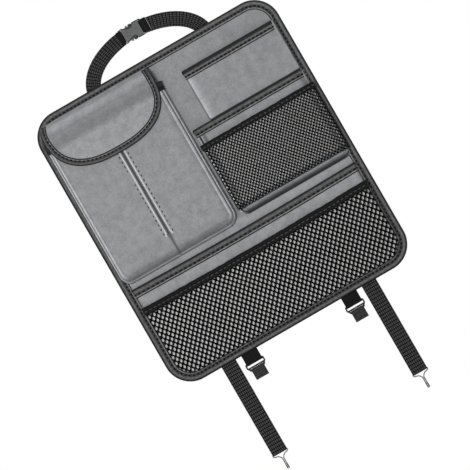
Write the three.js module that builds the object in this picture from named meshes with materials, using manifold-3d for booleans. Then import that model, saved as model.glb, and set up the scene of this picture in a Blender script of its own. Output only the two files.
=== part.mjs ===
// Car seat back organizer: a stiffened, bound panel with a tissue pocket under a flap, a card pocket,
// a bellows pocket, a wide pocket, two mesh pockets, a buckled top strap and four bottom straps.
// Millimetres. X runs to the right, Z up, and the front faces -Y. The origin is the middle of the
// panel's flat back, so a depth counts from the back towards the front.
import * as THREE from 'three';
import { mergeVertices } from 'three/addons/utils/BufferGeometryUtils.js';
import Module from 'manifold-3d';

// Panel
const panelWidth = 415;
const panelHeight = 463;
const panelCorner = 42;
const sewingGap = 0.3;
const tape = 0.9;
const rimTuck = tape + sewingGap;
const backCloth = 0.8;
const board = 2;
const boardInset = 12;
const frontCloth = 1.4;
const bindingWidth = 13.5;
const rollWidth = 7.4;
const rollHeight = 1.2;
const panelLeft = -panelWidth / 2;
const panelRight = panelWidth / 2;
const panelTop = panelHeight / 2;
const panelBottom = -panelHeight / 2;

// Depths through the panel
const backDepth = rimTuck + backCloth;
const boardBack = backDepth + sewingGap;
const frontBack = boardBack + board + sewingGap;
const frontDepth = frontBack + frontCloth;
const footDepth = frontDepth + sewingGap;
const bindingDepth = footDepth + tape;
const strapDepth = (backDepth + frontBack) / 2;

// Sewn pocket walls
const cloth = 1.2;
const mesh = 1;
const mouthRoll = 2.4;
const mouthRollWidth = 7;
const mouthLeg = sewingGap + tape;

const seamLeft = panelLeft + bindingWidth + sewingGap;
const seamRight = panelRight - bindingWidth - sewingGap;
const seamTop = panelTop - bindingWidth - sewingGap;
const seamBottom = panelBottom + bindingWidth + sewingGap;

// Tissue pocket, its slit and its flap
const tissueRight = -6;
const tissueFootRise = 185;
const tissueBottom = panelBottom + tissueFootRise;
const tissueMouthDrop = 41.5;
const tissueTop = panelTop - tissueMouthDrop;
const tissueDepth = 26.7;
const tissueBulge = 8.6;
const tissueEdge = 8;
const tissueCorner = 12;
const tissueBindingWidth = 15;
const slitInset = 105.5;
const slitX = panelLeft + slitInset;
const slitDrop = 50;
const slitTop = tissueTop - slitDrop;
const slitRise = 29.5;
const slitBottom = tissueBottom + slitRise;
const slitGap = 5.5;
const pipingWidth = 2.5;
const pipingRoll = 1;
const flapInset = 106;
const flapX = panelLeft + flapInset;
const flapHalfWidth = 96.5;
const flapStraight = 31.5;
const flapCurveTop = panelTop - flapStraight;
const flapDrop = 72.5;
const flapFullness = 2.5;
const flapBindingWidth = 11;
const flapRoom = 0.6;
const flapSwell = 2;
const patchWidth = 40;
const patchHeight = 18;
const patchThickness = 1;
const patchDrop = 24;
const patchTop = tissueTop - patchDrop;

// Card pocket and bellows pocket on the right
const cardLeft = 38.5;
const cardMouthDrop = 45.5;
const cardTop = panelTop - cardMouthDrop;
const cardDepth = 7.8;
const cardBindingWidth = 14.5;
const cardEdge = 2.5;
const cardCorner = 3;
const cardGap = 0.4;
const bellowsLeft = 12;
const cardLength = 85.7;
const bellowsTop = cardTop - cardLength;
const bellowsBottom = tissueBottom;
const bellowsDepth = 10;
const bellowsFold = 4;
const bellowsFace = 8;
const bellowsBindingWidth = 12.5;
const bellowsCorner = 4;

// Wide pocket along the bottom
const wideMouthDrop = 16.5;
const wideTop = tissueBottom - wideMouthDrop;
const wideDepth = 9;
const wideBindingWidth = 15;
const wideEdge = 5;
const seamRoom = 1;

// Mesh pockets and their elastic bands
const meshDepth = 7.5;
const meshOverlap = 1.1;
const bandThickness = 1.1;
const bandWidth = 9.5;
const upperMeshDrop = 26.3;
const upperMeshTop = bellowsTop - upperMeshDrop;
const upperMeshRise = 7.5;
const upperMeshBottom = bellowsBottom + upperMeshRise;
const upperMeshColumns = 14;
const upperMeshRows = 6;
const lowerMeshDrop = 32.5;
const lowerMeshTop = wideTop - lowerMeshDrop;
const lowerBandWidth = 12.5;
const lowerMeshColumns = 20;
const lowerMeshRows = 6;
const meshThread = 5;
const meshMargin = 6;
const meshRoom = 0.6;
const meshCorner = 3;
const meshEdge = 3;

// Top strap, an arch between an outer and an inner ellipse
const archX = 3;
const archSink = 12.2;
const archZ = panelTop - archSink;
const archHalfWidth = 108;
const archHeight = 69;
const strapWidth = 23.2;
const strapThickness = 1.3;
const strapTuck = 9;

// Side-release buckle
const buckleLength = 29;
const buckleX = 2;
const buckleHeight = 25.5;
const buckleDepth = 8;
const buckleWall = 1.6;
const buckleBar = 2.2;
const buckleSlot = 2.6;
const buckleSlotHalf = buckleHeight / 2 - 1.8;
const strapFold = 9;
const prongLength = 15;
const prongWidth = 3.2;
const stemLength = 7.5;

// Long bottom straps with wire hooks
const longStrapX = 122.5;
const longStrapWidth = 24.5;
const loopWidth = 22.4;
const hookHang = 154;
const hookPivotZ = panelBottom - hookHang;
const turnBack = 18;
const wireRadius = 0.9;
const loopClearance = 0.35;
const hookDrop = 23.5;
const hookRadius = 4.6;
const hookNeck = 10.5;

// Short tabs with ladder sliders
const tabX = 87.2;
const tabWidth = 26.4;
const tabLayer = 1;
const sliderHang = 16;
const sliderPivotZ = panelBottom - sliderHang;
const sliderBar = 1.8;
const sliderDepth = 3;
const sliderRail = 2.4;
const sliderRim = 1.3;
const middleBarDrop = 5.5;
const middleBar = 2.5;
const tailWidth = 21;
const tailLength = 16.2;
const barBore = 1.6;

const steps = { corner: 5, gusset: 5, arch: 14, wire: 6, loop: 12, slope: 18, flap: 22 };

const wasm = await Module();
wasm.setup();

/** A closed geometry as a solid that can be joined and cut. */
function solid(geometry) {
  const bare = geometry.clone();
  bare.deleteAttribute('normal');
  bare.deleteAttribute('uv');
  const merged = mergeVertices(bare, 1e-4);
  return new wasm.Manifold(new wasm.Mesh({
    numProp: 3,
    vertProperties: new Float32Array(merged.attributes.position.array),
    triVerts: new Uint32Array(merged.index.array),
  }));
}

/** The finished mesh of a solid, in the finish of its piece. */
function piece(name, form, finish) {
  const { vertProperties, triVerts } = form.getMesh();
  const geometry = new THREE.BufferGeometry();
  geometry.setAttribute('position', new THREE.BufferAttribute(new Float32Array(vertProperties), 3));
  geometry.setIndex(new THREE.BufferAttribute(new Uint32Array(triVerts), 1));
  geometry.computeVertexNormals();
  const made = new THREE.Mesh(geometry, new THREE.MeshStandardMaterial(finish));
  made.name = name;
  return made;
}

/** Triangles over a ring of points that lies at one depth, facing the way that is asked. */
function capFaces(ring, first, facing) {
  const faces = THREE.ShapeUtils.triangulateShape(ring.map((p) => new THREE.Vector2(p.x, p.z)), []);
  return faces.flatMap(([a, b, c]) => {
    const ab = ring[b].clone().sub(ring[a]);
    const ac = ring[c].clone().sub(ring[a]);
    const turned = ab.cross(ac).dot(facing) < 0;
    return turned ? [first + a, first + c, first + b] : [first + a, first + b, first + c];
  });
}

/** A skin over rings of equal count, capped flat at both ends or joined end to end. */
function loft(rings, joined = false) {
  const count = rings[0].length;
  const faces = [];
  const spans = joined ? rings.length : rings.length - 1;
  for (let k = 0; k < spans; k += 1) {
    const near = k * count;
    const far = ((k + 1) % rings.length) * count;
    for (let i = 0; i < count; i += 1) {
      const j = (i + 1) % count;
      faces.push(near + i, near + j, far + i);
      faces.push(near + j, far + j, far + i);
    }
  }
  if (!joined) {
    faces.push(...capFaces(rings[0], 0, new THREE.Vector3(0, 1, 0)));
    faces.push(...capFaces(rings.at(-1), count * (rings.length - 1), new THREE.Vector3(0, -1, 0)));
  }
  const geometry = new THREE.BufferGeometry().setFromPoints(rings.flat());
  geometry.setIndex(faces);
  return solid(geometry);
}

/** A round section carried along a line of points in space. */
function wire(points, radius) {
  const tangents = points.map((point, i) => {
    const before = points[Math.max(i - 1, 0)];
    const after = points[Math.min(i + 1, points.length - 1)];
    return after.clone().sub(before).normalize();
  });
  let side = new THREE.Vector3(0, 1, 0).cross(tangents[0]).normalize();
  const rings = points.map((point, i) => {
    side = side.clone().addScaledVector(tangents[i], -side.dot(tangents[i])).normalize();
    const up = tangents[i].clone().cross(side);
    return Array.from({ length: steps.wire }, (_, k) => {
      const turn = (2 * Math.PI * k) / steps.wire;
      return point.clone()
        .addScaledVector(side, radius * Math.cos(turn))
        .addScaledVector(up, radius * Math.sin(turn));
    });
  });
  const faces = [];
  const count = steps.wire;
  for (let k = 0; k < rings.length - 1; k += 1) {
    for (let i = 0; i < count; i += 1) {
      const j = (i + 1) % count;
      faces.push(k * count + i, k * count + j, (k + 1) * count + i);
      faces.push(k * count + j, (k + 1) * count + j, (k + 1) * count + i);
    }
  }
  const last = (rings.length - 1) * count;
  for (let i = 1; i < count - 1; i += 1) {
    faces.push(0, i + 1, i);
    faces.push(last, last + i, last + i + 1);
  }
  const geometry = new THREE.BufferGeometry().setFromPoints(rings.flat());
  geometry.setIndex(faces);
  return solid(geometry);
}

/** A block between two corners, given as X, depth and Z. */
function block(x0, x1, depth0, depth1, z0, z1) {
  const geometry = new THREE.BoxGeometry(x1 - x0, depth1 - depth0, z1 - z0);
  geometry.translate((x0 + x1) / 2, -(depth0 + depth1) / 2, (z0 + z1) / 2);
  return solid(geometry);
}

/** Front-view shapes cut from a sheet that lies between two depths. */
function plate(shapes, depth0, depth1) {
  const geometry = new THREE.ExtrudeGeometry(shapes, {
    depth: depth1 - depth0, bevelEnabled: false, curveSegments: steps.loop,
  });
  geometry.rotateX(Math.PI / 2);
  geometry.translate(0, -depth0, 0);
  return solid(geometry);
}

/** A side-view section, drawn as depth and Z, carried straight across from x0 to x1. */
function strip(section, x0, x1) {
  const geometry = new THREE.ExtrudeGeometry(section, { depth: x1 - x0, bevelEnabled: false });
  geometry.applyMatrix4(new THREE.Matrix4().makeBasis(
    new THREE.Vector3(0, -1, 0), new THREE.Vector3(0, 0, 1), new THREE.Vector3(-1, 0, 0),
  ));
  return solid(geometry.translate(x1, 0, 0));
}

function polygon(points) {
  return new THREE.Shape(points.map(([x, y]) => new THREE.Vector2(x, y)));
}

/** A round-cornered outline set in from its bounds, anticlockwise from the bottom right. */
function roundOutline(bounds, inset) {
  const radius = Math.max(bounds.corner - inset, 0.2);
  const right = bounds.right - inset - radius;
  const left = bounds.left + inset + radius;
  const top = bounds.top - inset - radius;
  const bottom = bounds.bottom + inset + radius;
  const centres = [[right, bottom, -1], [right, top, 0], [left, top, 1], [left, bottom, 2]];
  return centres.flatMap(([x, z, quarter]) => Array.from({ length: steps.corner + 1 }, (_, k) => {
    const turn = (Math.PI / 2) * (quarter + k / steps.corner);
    return [x + radius * Math.cos(turn), z + radius * Math.sin(turn)];
  }));
}

function ring(bounds, inset, depth) {
  return roundOutline(bounds, inset).map(([x, z]) => new THREE.Vector3(x, -depth, z));
}

const panelBounds = {
  left: panelLeft, right: panelRight, top: panelTop, bottom: panelBottom, corner: panelCorner,
};

/** A flat layer of the panel. */
function panelLayer(inset, depth0, depth1) {
  return loft([ring(panelBounds, inset, depth0), ring(panelBounds, inset, depth1)]);
}

/** The back cloth: a flat field, and a rim set back for the binding's rear leg. */
function backCover() {
  const field = bindingWidth + sewingGap;
  return loft([
    ring(panelBounds, field, 0),
    ring(panelBounds, field, rimTuck),
    ring(panelBounds, rimTuck, rimTuck + 0.01),
    ring(panelBounds, rimTuck, backDepth),
  ]);
}

/** The tape that wraps the panel's edge: a flat rear leg, a rolled front edge and a stitched leg. */
function edgeBinding(grow = 0) {
  const roll = bindingDepth + rollHeight + grow;
  const round = rollWidth / 5;
  const section = [
    [bindingWidth, 0],
    [round, 0],
    [0, round],
    [0, bindingDepth - round],
    [round / 2, roll - round / 2],
    [rollWidth * 0.4, roll],
    [rollWidth - round, roll - 0.3],
    [rollWidth, bindingDepth + grow],
    [bindingWidth + grow, bindingDepth + grow],
    [bindingWidth + grow, footDepth],
    [tape, footDepth],
    [tape, tape],
    [bindingWidth, tape],
  ];
  return loft(section.map(([inset, depth]) => ring(panelBounds, inset, depth)), true);
}

const edgeRoom = edgeBinding(sewingGap);

/** The corner of a pocket from its sewn foot to its front: a bulging quarter round. */
function softGusset(edge, bulge) {
  const round = Array.from({ length: steps.gusset }, (_, k) => {
    const turn = (Math.PI / 2) * ((k + 1) / steps.gusset);
    return { inward: edge * (1 - Math.cos(turn)) - bulge * Math.sin(2 * turn), rise: Math.sin(turn) };
  });
  return [{ inward: 0, rise: 0 }, ...round];
}

/** A bellows corner: out to one fold, back to its crease, and forward to the sloping face. */
function pleatedGusset(fold, face) {
  return [
    { inward: 0, rise: 0 },
    { inward: -fold, rise: 0.28 },
    { inward: -fold * 0.3, rise: 0.5 },
    { inward: -fold * 0.55, rise: 0.72 },
    { inward: face * 0.5, rise: 0.92 },
    { inward: face, rise: 1 },
  ];
}

const mouthRoom = 60;
const pocketReach = 40;

/** The full space of a pocket, grown on all sides, and run out behind its foot where asked. */
function pocketForm(pocket, grow = 0, behind = 0) {
  const bounds = { ...pocket, top: pocket.top + mouthRoom };
  const rings = pocket.gusset.map(({ inward, rise }) => (
    ring(bounds, inward - grow, pocket.foot + (pocket.depth + grow) * rise)
  ));
  if (behind > 0) rings.unshift(ring(bounds, -grow, pocket.foot - behind));
  return loft(rings);
}

/** The slice of space that a pocket fills between two heights. */
function heights(pocket, z0, z1) {
  const front = pocket.foot + pocket.depth + pocketReach;
  return block(pocket.left - pocketReach, pocket.right + pocketReach, -pocketReach, front, z0, z1);
}

/** A pocket's cloth wall, open at its mouth and at its back, where it is sewn down. */
function pocketWall(pocket, room = 0) {
  const outside = pocketForm(pocket, room, room);
  const inside = pocketForm(pocket, -pocket.wall - room, 1 + room);
  const slice = heights(pocket, pocket.bottom - mouthRoom, pocket.top + room);
  return outside.subtract(inside).intersect(slice).subtract(edgeRoom);
}

/** The bound mouth of a pocket: tape over the wall's edge, rolled in front and stitched below. */
function mouthBinding(pocket, width, roll, leg) {
  const inside = pocketForm(pocket, -pocket.wall - leg, 1);
  const brim = pocket.top + leg;
  const rolled = pocketForm(pocket, roll).intersect(heights(pocket, brim - mouthRollWidth, brim));
  const stitched = pocketForm(pocket, leg).intersect(heights(pocket, brim - width, brim));
  return rolled.add(stitched).subtract(inside).subtract(pocketWall(pocket, sewingGap)).subtract(edgeRoom);
}

/** A mouth bound in tape, as all but the mesh pockets are. */
function boundMouth(pocket, width) {
  return mouthBinding(pocket, width, mouthRoll, mouthLeg);
}

const tissue = {
  left: seamLeft, right: tissueRight, top: tissueTop, bottom: tissueBottom, corner: tissueCorner,
  foot: footDepth, depth: tissueDepth, wall: cloth, gusset: softGusset(tissueEdge, tissueBulge),
};
const card = {
  left: cardLeft, right: seamRight - seamRoom, top: cardTop, bottom: bellowsTop + mouthLeg + cardGap,
  corner: cardCorner,
  foot: footDepth, depth: cardDepth, wall: cloth, gusset: softGusset(cardEdge, 0),
};
const bellows = {
  left: bellowsLeft, right: seamRight, top: bellowsTop, bottom: bellowsBottom, corner: bellowsCorner,
  foot: footDepth, depth: bellowsDepth, wall: cloth, gusset: pleatedGusset(bellowsFold, bellowsFace),
};
const wide = {
  left: seamLeft + seamRoom, right: seamRight - seamRoom, top: wideTop, bottom: seamBottom + seamRoom,
  corner: panelCorner - bindingWidth - seamRoom,
  foot: footDepth, depth: wideDepth, wall: cloth, gusset: softGusset(wideEdge, 0),
};
const meshOut = bellowsFold + sewingGap + mesh + meshRoom;
const upperMesh = {
  left: bellows.left - meshOut,
  right: bellows.right + meshOut,
  top: upperMeshTop, bottom: upperMeshBottom, corner: meshCorner,
  foot: bindingDepth + rollHeight, depth: bellows.foot + bellowsDepth + meshDepth - bindingDepth - rollHeight,
  wall: mesh, gusset: softGusset(meshEdge, 0),
};
const lowerMesh = {
  left: wide.left - meshOverlap, right: wide.right + meshOverlap, top: lowerMeshTop,
  bottom: wide.bottom - meshOverlap, corner: wide.corner + meshOverlap,
  foot: bindingDepth + sewingGap, depth: wide.foot + wideDepth + meshDepth - bindingDepth - sewingGap,
  wall: mesh, gusset: softGusset(meshEdge, 0),
};

/** Staggered diamond gaps over a field, as columns and rows of one open mesh. */
function meshGaps(left, right, bottom, top, columns, rows) {
  const pitchX = (right - left) / (columns + 0.5);
  const pitchZ = (top - bottom) / rows;
  const halfX = (pitchX - meshThread) / 2;
  const halfZ = (pitchZ - meshThread) / 2;
  const shapes = [];
  for (let row = 0; row < rows; row += 1) {
    for (let column = 0; column < columns; column += 1) {
      const x = left + pitchX * (column + 0.5 + (row % 2) / 2);
      const z = bottom + pitchZ * (row + 0.5);
      shapes.push(polygon([[x - halfX, z], [x, z - halfZ], [x + halfX, z], [x, z + halfZ]]));
    }
  }
  return shapes;
}

/** A mesh pocket that is sewn round the pocket behind it, with its open diamonds. */
function meshPocket(pocket, behind, columns, rows, bandCover) {
  const front = pocket.foot + pocket.depth;
  const gaps = meshGaps(
    pocket.left + meshMargin, pocket.right - meshMargin,
    pocket.bottom + meshMargin, pocket.top - bandCover, columns, rows,
  );
  return pocketWall(pocket)
    .subtract(pocketForm(behind, sewingGap, 2))
    .subtract(plate(gaps, front - 3, front + 1));
}

/** The elastic band folded over a mesh pocket's mouth. */
function meshBand(pocket, behind, width) {
  const band = mouthBinding(pocket, width, sewingGap + bandThickness, sewingGap + bandThickness);
  return band.subtract(pocketForm(behind, sewingGap, 2));
}

const tissueFront = footDepth + tissueDepth;

/** The tissue pocket with its slit. */
function tissuePocket() {
  const edge = slitGap / 2 + mouthLeg;
  const slit = block(slitX - edge, slitX + edge, tissueFront - 8, tissueFront + 2, slitBottom, slitTop);
  return pocketWall(tissue).subtract(slit);
}

/** A rolled edging over one long edge of the slit; side is -1 on the left and 1 on the right. */
function slitPiping(side) {
  const inner = slitX + (side * slitGap) / 2;
  const outer = inner + side * (pipingWidth + mouthLeg);
  const seat = inner + side * tape;
  const back = tissueFront - cloth - mouthLeg;
  const crest = tissueFront + sewingGap + pipingRoll;
  const section = [
    [inner, back],
    [outer, back],
    [outer, back + tape],
    [seat, back + tape],
    [seat, tissueFront + sewingGap],
    [outer, tissueFront + sewingGap],
    [outer, crest - pipingRoll / 2],
    [(inner + outer) / 2, crest],
    [inner, crest - pipingRoll / 2],
  ];
  const geometry = new THREE.ExtrudeGeometry(
    polygon(section.map(([x, depth]) => [x, -depth])),
    { depth: slitTop - slitBottom - 2 * sewingGap, bevelEnabled: false },
  );
  geometry.translate(0, 0, slitBottom + sewingGap);
  return solid(geometry);
}

const patchBack = tissueFront + sewingGap;
const flapHalfDepth = cloth / 2 + flapRoom + tape;
const flapRest = patchBack + 2 * (patchThickness + sewingGap) + cloth / 2;
const flapOverMouth = tissueFront + mouthRoll + sewingGap + flapHalfDepth + sewingGap;
const flapSlope = new THREE.SplineCurve([
  [seamTop - 2 * sewingGap, footDepth + cloth],
  [seamTop - 4, footDepth + 15],
  [tissueTop + 18, flapOverMouth - 6],
  [tissueTop + 12, flapOverMouth + flapSwell * 0.5],
  [tissueTop + 4, flapOverMouth + flapSwell],
  [tissueTop - 5, flapOverMouth + flapSwell * 0.4],
  [tissueTop - tissueBindingWidth, flapOverMouth],
  [patchTop + 1.5, flapRest],
  [patchTop - patchHeight, flapRest],
  [flapCurveTop - flapDrop - 4, flapRest],
].map(([z, depth]) => new THREE.Vector2(z, depth)));

/** The fall of the flap seen from the side, as a section of a given thickness. */
function flapSection(thickness) {
  const points = flapSlope.getPoints(steps.slope);
  const side = (offset) => points.map((point, i) => {
    const before = points[Math.max(i - 1, 0)];
    const after = points[Math.min(i + 1, points.length - 1)];
    const along = after.clone().sub(before).normalize();
    return [point.y - offset * along.x, point.x + offset * along.y];
  });
  return polygon([...side(thickness / 2), ...side(-thickness / 2).reverse()]);
}

/** The flap's front view, set in from its edge: straight sides and a full round lower edge. */
function flapOutline(inset) {
  const half = flapHalfWidth - inset;
  const edge = Array.from({ length: steps.flap + 1 }, (_, k) => {
    const share = Math.sin((Math.PI / 2) * ((2 * k) / steps.flap - 1));
    const fullness = (1 - Math.abs(share) ** flapFullness) ** (1 / flapFullness);
    return [flapX + half * share, flapCurveTop - (flapDrop - inset) * fullness];
  });
  return polygon([...edge, [flapX + half, panelTop], [flapX - half, panelTop]]);
}

/** The flap as a sheet of a given thickness, set in from its outline. */
function flapSheet(thickness, inset) {
  const half = flapHalfWidth;
  return strip(flapSection(thickness), flapX - half - 1, flapX + half + 1)
    .intersect(plate([flapOutline(inset)], 0, flapOverMouth + 20));
}

/** The tape round the flap's free edge, open along the sewn top. */
function flapBinding() {
  const outside = flapSheet(cloth + 2 * (flapRoom + tape), 0);
  const clothRoom = flapSheet(cloth + 2 * flapRoom, rimTuck - flapRoom);
  return outside
    .subtract(clothRoom)
    .subtract(plate([flapOutline(flapBindingWidth)], 0, flapOverMouth + 20))
    .subtract(edgeRoom);
}

function closurePatch(depth) {
  const side = patchWidth / 2;
  return block(slitX - side, slitX + side, depth, depth + patchThickness, patchTop - patchHeight, patchTop);
}

/** Half of the arched top strap, from its sewn foot to the buckle; side is -1 on the left. */
function archStrap(side) {
  const foot = panelTop - strapTuck;
  const endX = side < 0 ? barOuterLeft - strapFold / 2 : barOuterRight + strapFold / 2;
  const angle = (halfWidth, height, x, z) => (
    z === undefined ? Math.acos(Math.abs(x - archX) / halfWidth) : Math.asin((z - archZ) / height)
  );
  const arc = (halfWidth, height) => {
    const start = angle(halfWidth, height, 0, foot);
    const end = angle(halfWidth, height, endX);
    return Array.from({ length: steps.arch + 1 }, (_, k) => {
      const turn = THREE.MathUtils.lerp(start, end, k / steps.arch);
      return [archX + side * halfWidth * Math.cos(turn), archZ + height * Math.sin(turn)];
    });
  };
  const outer = arc(archHalfWidth, archHeight);
  const inner = arc(archHalfWidth - strapWidth, archHeight - strapWidth);
  const half = strapThickness / 2;
  const arch = plate([polygon([...outer, ...inner.reverse()])], strapDepth - half, strapDepth + half);
  const bar = side < 0 ? barOuterLeft + buckleBar / 2 : barOuterRight - buckleBar / 2;
  const bore = buckleBar * Math.SQRT1_2 + sewingGap;
  const fold = { bore, layer: strapThickness, doubled: strapFold };
  const loop = foldedWebbing(fold, 2 * (buckleSlotHalf - sewingGap));
  const across = new THREE.Vector3(0, -side, 0);
  const along = new THREE.Vector3(side, 0, 0);
  loop.applyMatrix4(new THREE.Matrix4().makeBasis(across, along, across.clone().cross(along)));
  return arch.add(solid(loop.translate(bar, -strapDepth, buckleZ)));
}

const buckleZ = archZ + archHeight - strapWidth / 2;
const housingLeft = buckleX - buckleLength / 2 + stemLength;
const housingRight = buckleX + buckleLength / 2;
const buckleBack = strapDepth - buckleDepth / 2;
const buckleFront = strapDepth + buckleDepth / 2;
const barOuterLeft = buckleX - buckleLength / 2 - buckleSlot - buckleBar;
const barOuterRight = housingRight + buckleSlot + buckleBar;
const throughBuckle = [buckleBack - 10, buckleFront + 10];

/** A slot for the strap between two X, right through the buckle. */
function strapOpening(x0, x1) {
  const [back, front] = throughBuckle;
  return block(x0, x1, back, front, buckleZ - buckleSlotHalf, buckleZ + buckleSlotHalf);
}

/** The socket half: a waisted case with side windows for the catches, and its strap bar. */
function buckleHousing() {
  const half = buckleHeight / 2;
  const waist = half - 1.2;
  const mouth = housingLeft + 3;
  const outline = [
    [housingLeft, -waist], [mouth, -half], [housingRight, -half], [barOuterRight, -half + 1],
    [barOuterRight, half - 1], [housingRight, half], [mouth, half], [housingLeft, waist],
  ].map(([x, z]) => [x, z + buckleZ]);
  const cavity = block(
    housingLeft - 1, housingRight - 2,
    buckleBack + buckleWall, buckleFront - buckleWall,
    buckleZ - half + buckleWall, buckleZ + half - buckleWall,
  );
  const slot = strapOpening(housingRight, housingRight + buckleSlot);
  const thin = (buckleDepth - buckleBar) / 2;
  const barFace = (depth0, depth1) => block(
    housingRight, barOuterRight + 1, depth0, depth1, buckleZ - half - 1, buckleZ + half + 1,
  );
  const window = (z0, z1) => block(mouth + 1, mouth + 8.5, buckleBack - 1, buckleFront + 1, z0, z1);
  return plate([polygon(outline)], buckleBack, buckleFront)
    .subtract(cavity)
    .subtract(slot)
    .subtract(barFace(buckleBack - 1, buckleBack + thin))
    .subtract(barFace(buckleFront - thin, buckleFront + 1))
    .subtract(window(buckleZ - half - 1, buckleZ - half + 4))
    .subtract(window(buckleZ + half - 4, buckleZ + half + 1));
}

/** The plug half: a stem with its strap bar, two sprung catches and a middle guide. */
function bucklePlug() {
  const half = buckleHeight / 2;
  const stemRight = housingLeft - sewingGap;
  const stemLeft = buckleX - buckleLength / 2;
  const catchZ = half - buckleWall - 0.6;
  const arm = (sign) => polygon([
    [stemRight - 1, sign * (catchZ - 1)],
    [stemRight + 5, sign * (catchZ - 0.2)],
    [stemRight + 6.5, sign * (half + 0.3)],
    [stemRight + 10.5, sign * (half + 0.1)],
    [stemRight + prongLength - 2.5, sign * (catchZ - 0.4)],
    [stemRight + prongLength - 2.5, sign * (catchZ - prongWidth)],
    [stemRight + 7, sign * (catchZ - prongWidth)],
    [stemRight - 1, sign * (catchZ - prongWidth - 1)],
  ].map(([x, z]) => [x, z + buckleZ]));
  const upperEdge = [
    [stemRight, half - 2], [stemRight - 2, half - 2.6], [stemLeft, half - 0.4], [barOuterLeft, half - 1.2],
  ];
  const lowerEdge = upperEdge.map(([x, z]) => [x, -z]).reverse();
  const stem = [...lowerEdge, ...upperEdge].map(([x, z]) => [x, z + buckleZ]);
  const room = buckleWall + 0.5;
  const slot = strapOpening(stemLeft - buckleSlot, stemLeft);
  const thin = (buckleDepth - buckleBar) / 2;
  const barFace = (depth0, depth1) => block(
    barOuterLeft - 1, stemLeft, depth0, depth1, buckleZ - half - 1, buckleZ + half + 1,
  );
  const guide = block(
    stemRight - 1, stemRight + prongLength - 4,
    buckleBack + room, buckleFront - room,
    buckleZ - 2, buckleZ + 2,
  );
  return plate([polygon(stem)], buckleBack + 0.4, buckleFront - 0.4)
    .subtract(slot)
    .subtract(barFace(buckleBack - 1, buckleBack + thin))
    .subtract(barFace(buckleFront - thin, buckleFront + 1))
    .add(plate([arm(-1)], buckleBack + room, buckleFront - room))
    .add(plate([arm(1)], buckleBack + room, buckleFront - room))
    .add(guide);
}

/**
 * Webbing folded round a bar, drawn round the bar's own centre: both layers lie together as far as
 * doubled, and one layer of the thickness single may run on to reach. The width is centred too.
 */
function foldedWebbing({ bore, layer, doubled, single = 0, reach = 0 }, width) {
  const outer = bore + layer;
  const lift = Math.asin(layer / outer);
  const shape = new THREE.Shape();
  shape.moveTo(layer, outer * Math.cos(lift));
  shape.lineTo(layer, doubled);
  if (single > 0) {
    shape.lineTo(single / 2, doubled + 1);
    shape.lineTo(single / 2, reach);
    shape.lineTo(-single / 2, reach);
    shape.lineTo(-single / 2, doubled + 1);
  }
  shape.lineTo(-layer, doubled);
  shape.absarc(0, 0, outer, Math.PI / 2 + lift, Math.PI * 2.5 - lift, false);
  const hole = new THREE.Path();
  hole.absarc(0, 0, bore, 0, 2 * Math.PI, true);
  shape.holes.push(hole);
  const geometry = new THREE.ExtrudeGeometry(shape, {
    depth: width, bevelEnabled: false, curveSegments: steps.loop,
  });
  return geometry.translate(0, 0, -width / 2);
}

/** Folded webbing set on a bar that lies across, with the strap running up (1) or down (-1) from it. */
function hangingLoop(fold, width, x, pivotZ, way) {
  const geometry = foldedWebbing(fold, width);
  const across = new THREE.Vector3(0, -way, 0);
  const along = new THREE.Vector3(0, 0, way);
  geometry.applyMatrix4(new THREE.Matrix4().makeBasis(across, along, across.clone().cross(along)));
  return solid(geometry.translate(x, -strapDepth, pivotZ));
}

/** A long strap from the panel's seam to the loop that holds its hook. */
function longStrap(x) {
  const bore = wireRadius + loopClearance;
  const reach = panelBottom + strapTuck - hookPivotZ;
  const fold = { bore, layer: strapThickness, doubled: turnBack, single: strapThickness, reach };
  const half = longStrapWidth / 2;
  const outer = bore + strapThickness;
  const shoulder = hookPivotZ + outer + 2 * sewingGap;
  const reachOut = 2 * outer;
  const trim = (x0, x1) => (
    block(x0, x1, strapDepth - reachOut, strapDepth + reachOut, hookPivotZ - reachOut, shoulder)
  );
  return hangingLoop(fold, longStrapWidth, x, hookPivotZ, 1)
    .subtract(trim(x - half - 1, x - loopWidth / 2))
    .subtract(trim(x + loopWidth / 2, x + half + 1));
}

/** The wire hook: one wire bent into a triangular eye, a doubled neck and an open hook. */
function wireHook(x) {
  const eye = loopWidth / 2 + sewingGap + wireRadius;
  const pair = wireRadius + 0.25;
  const corner = 1.5;
  const clear = wireRadius + loopClearance + strapThickness + sewingGap + wireRadius;
  const rightLeg = [
    [eye - corner, 0, 0],
    [eye - corner * 0.3, 0, -corner * 0.3],
    [eye, 0, -corner],
    [eye, 0, -clear + wireRadius],
    [eye - 1.2, 0, -clear - 0.3],
    [eye - 3.2, 0, -clear - 0.9],
    [eye * 0.42, 0, -clear - 1.9],
    [pair + 1.6, 0, -hookNeck + 2.4],
    [pair, 0, -hookNeck],
    [pair, 0, -hookDrop],
  ];
  for (let k = 1; k <= 7; k += 1) {
    const turn = (Math.PI * k) / 7;
    rightLeg.push([pair, hookRadius * (1 - Math.cos(turn)), -hookDrop - hookRadius * Math.sin(turn)]);
  }
  rightLeg.push([pair, 2 * hookRadius + 0.8, -hookDrop + 3.5]);
  const leftLeg = rightLeg.map(([across, depth, rise]) => [-across, depth, rise]).reverse();
  const points = [...leftLeg, ...rightLeg].map(([across, depth, rise]) => (
    new THREE.Vector3(x + across, -strapDepth - depth, hookPivotZ + rise)
  ));
  return wire(points, wireRadius);
}

/** A short tab folded round the slider's top bar. */
function sliderTab(x) {
  const doubled = panelBottom + strapTuck - sliderPivotZ;
  return hangingLoop({ bore: barBore, layer: tabLayer, doubled }, tabWidth, x, sliderPivotZ, 1);
}

const tailPivotZ = sliderPivotZ - middleBarDrop - middleBar - barBore - tabLayer - sewingGap;

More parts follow.
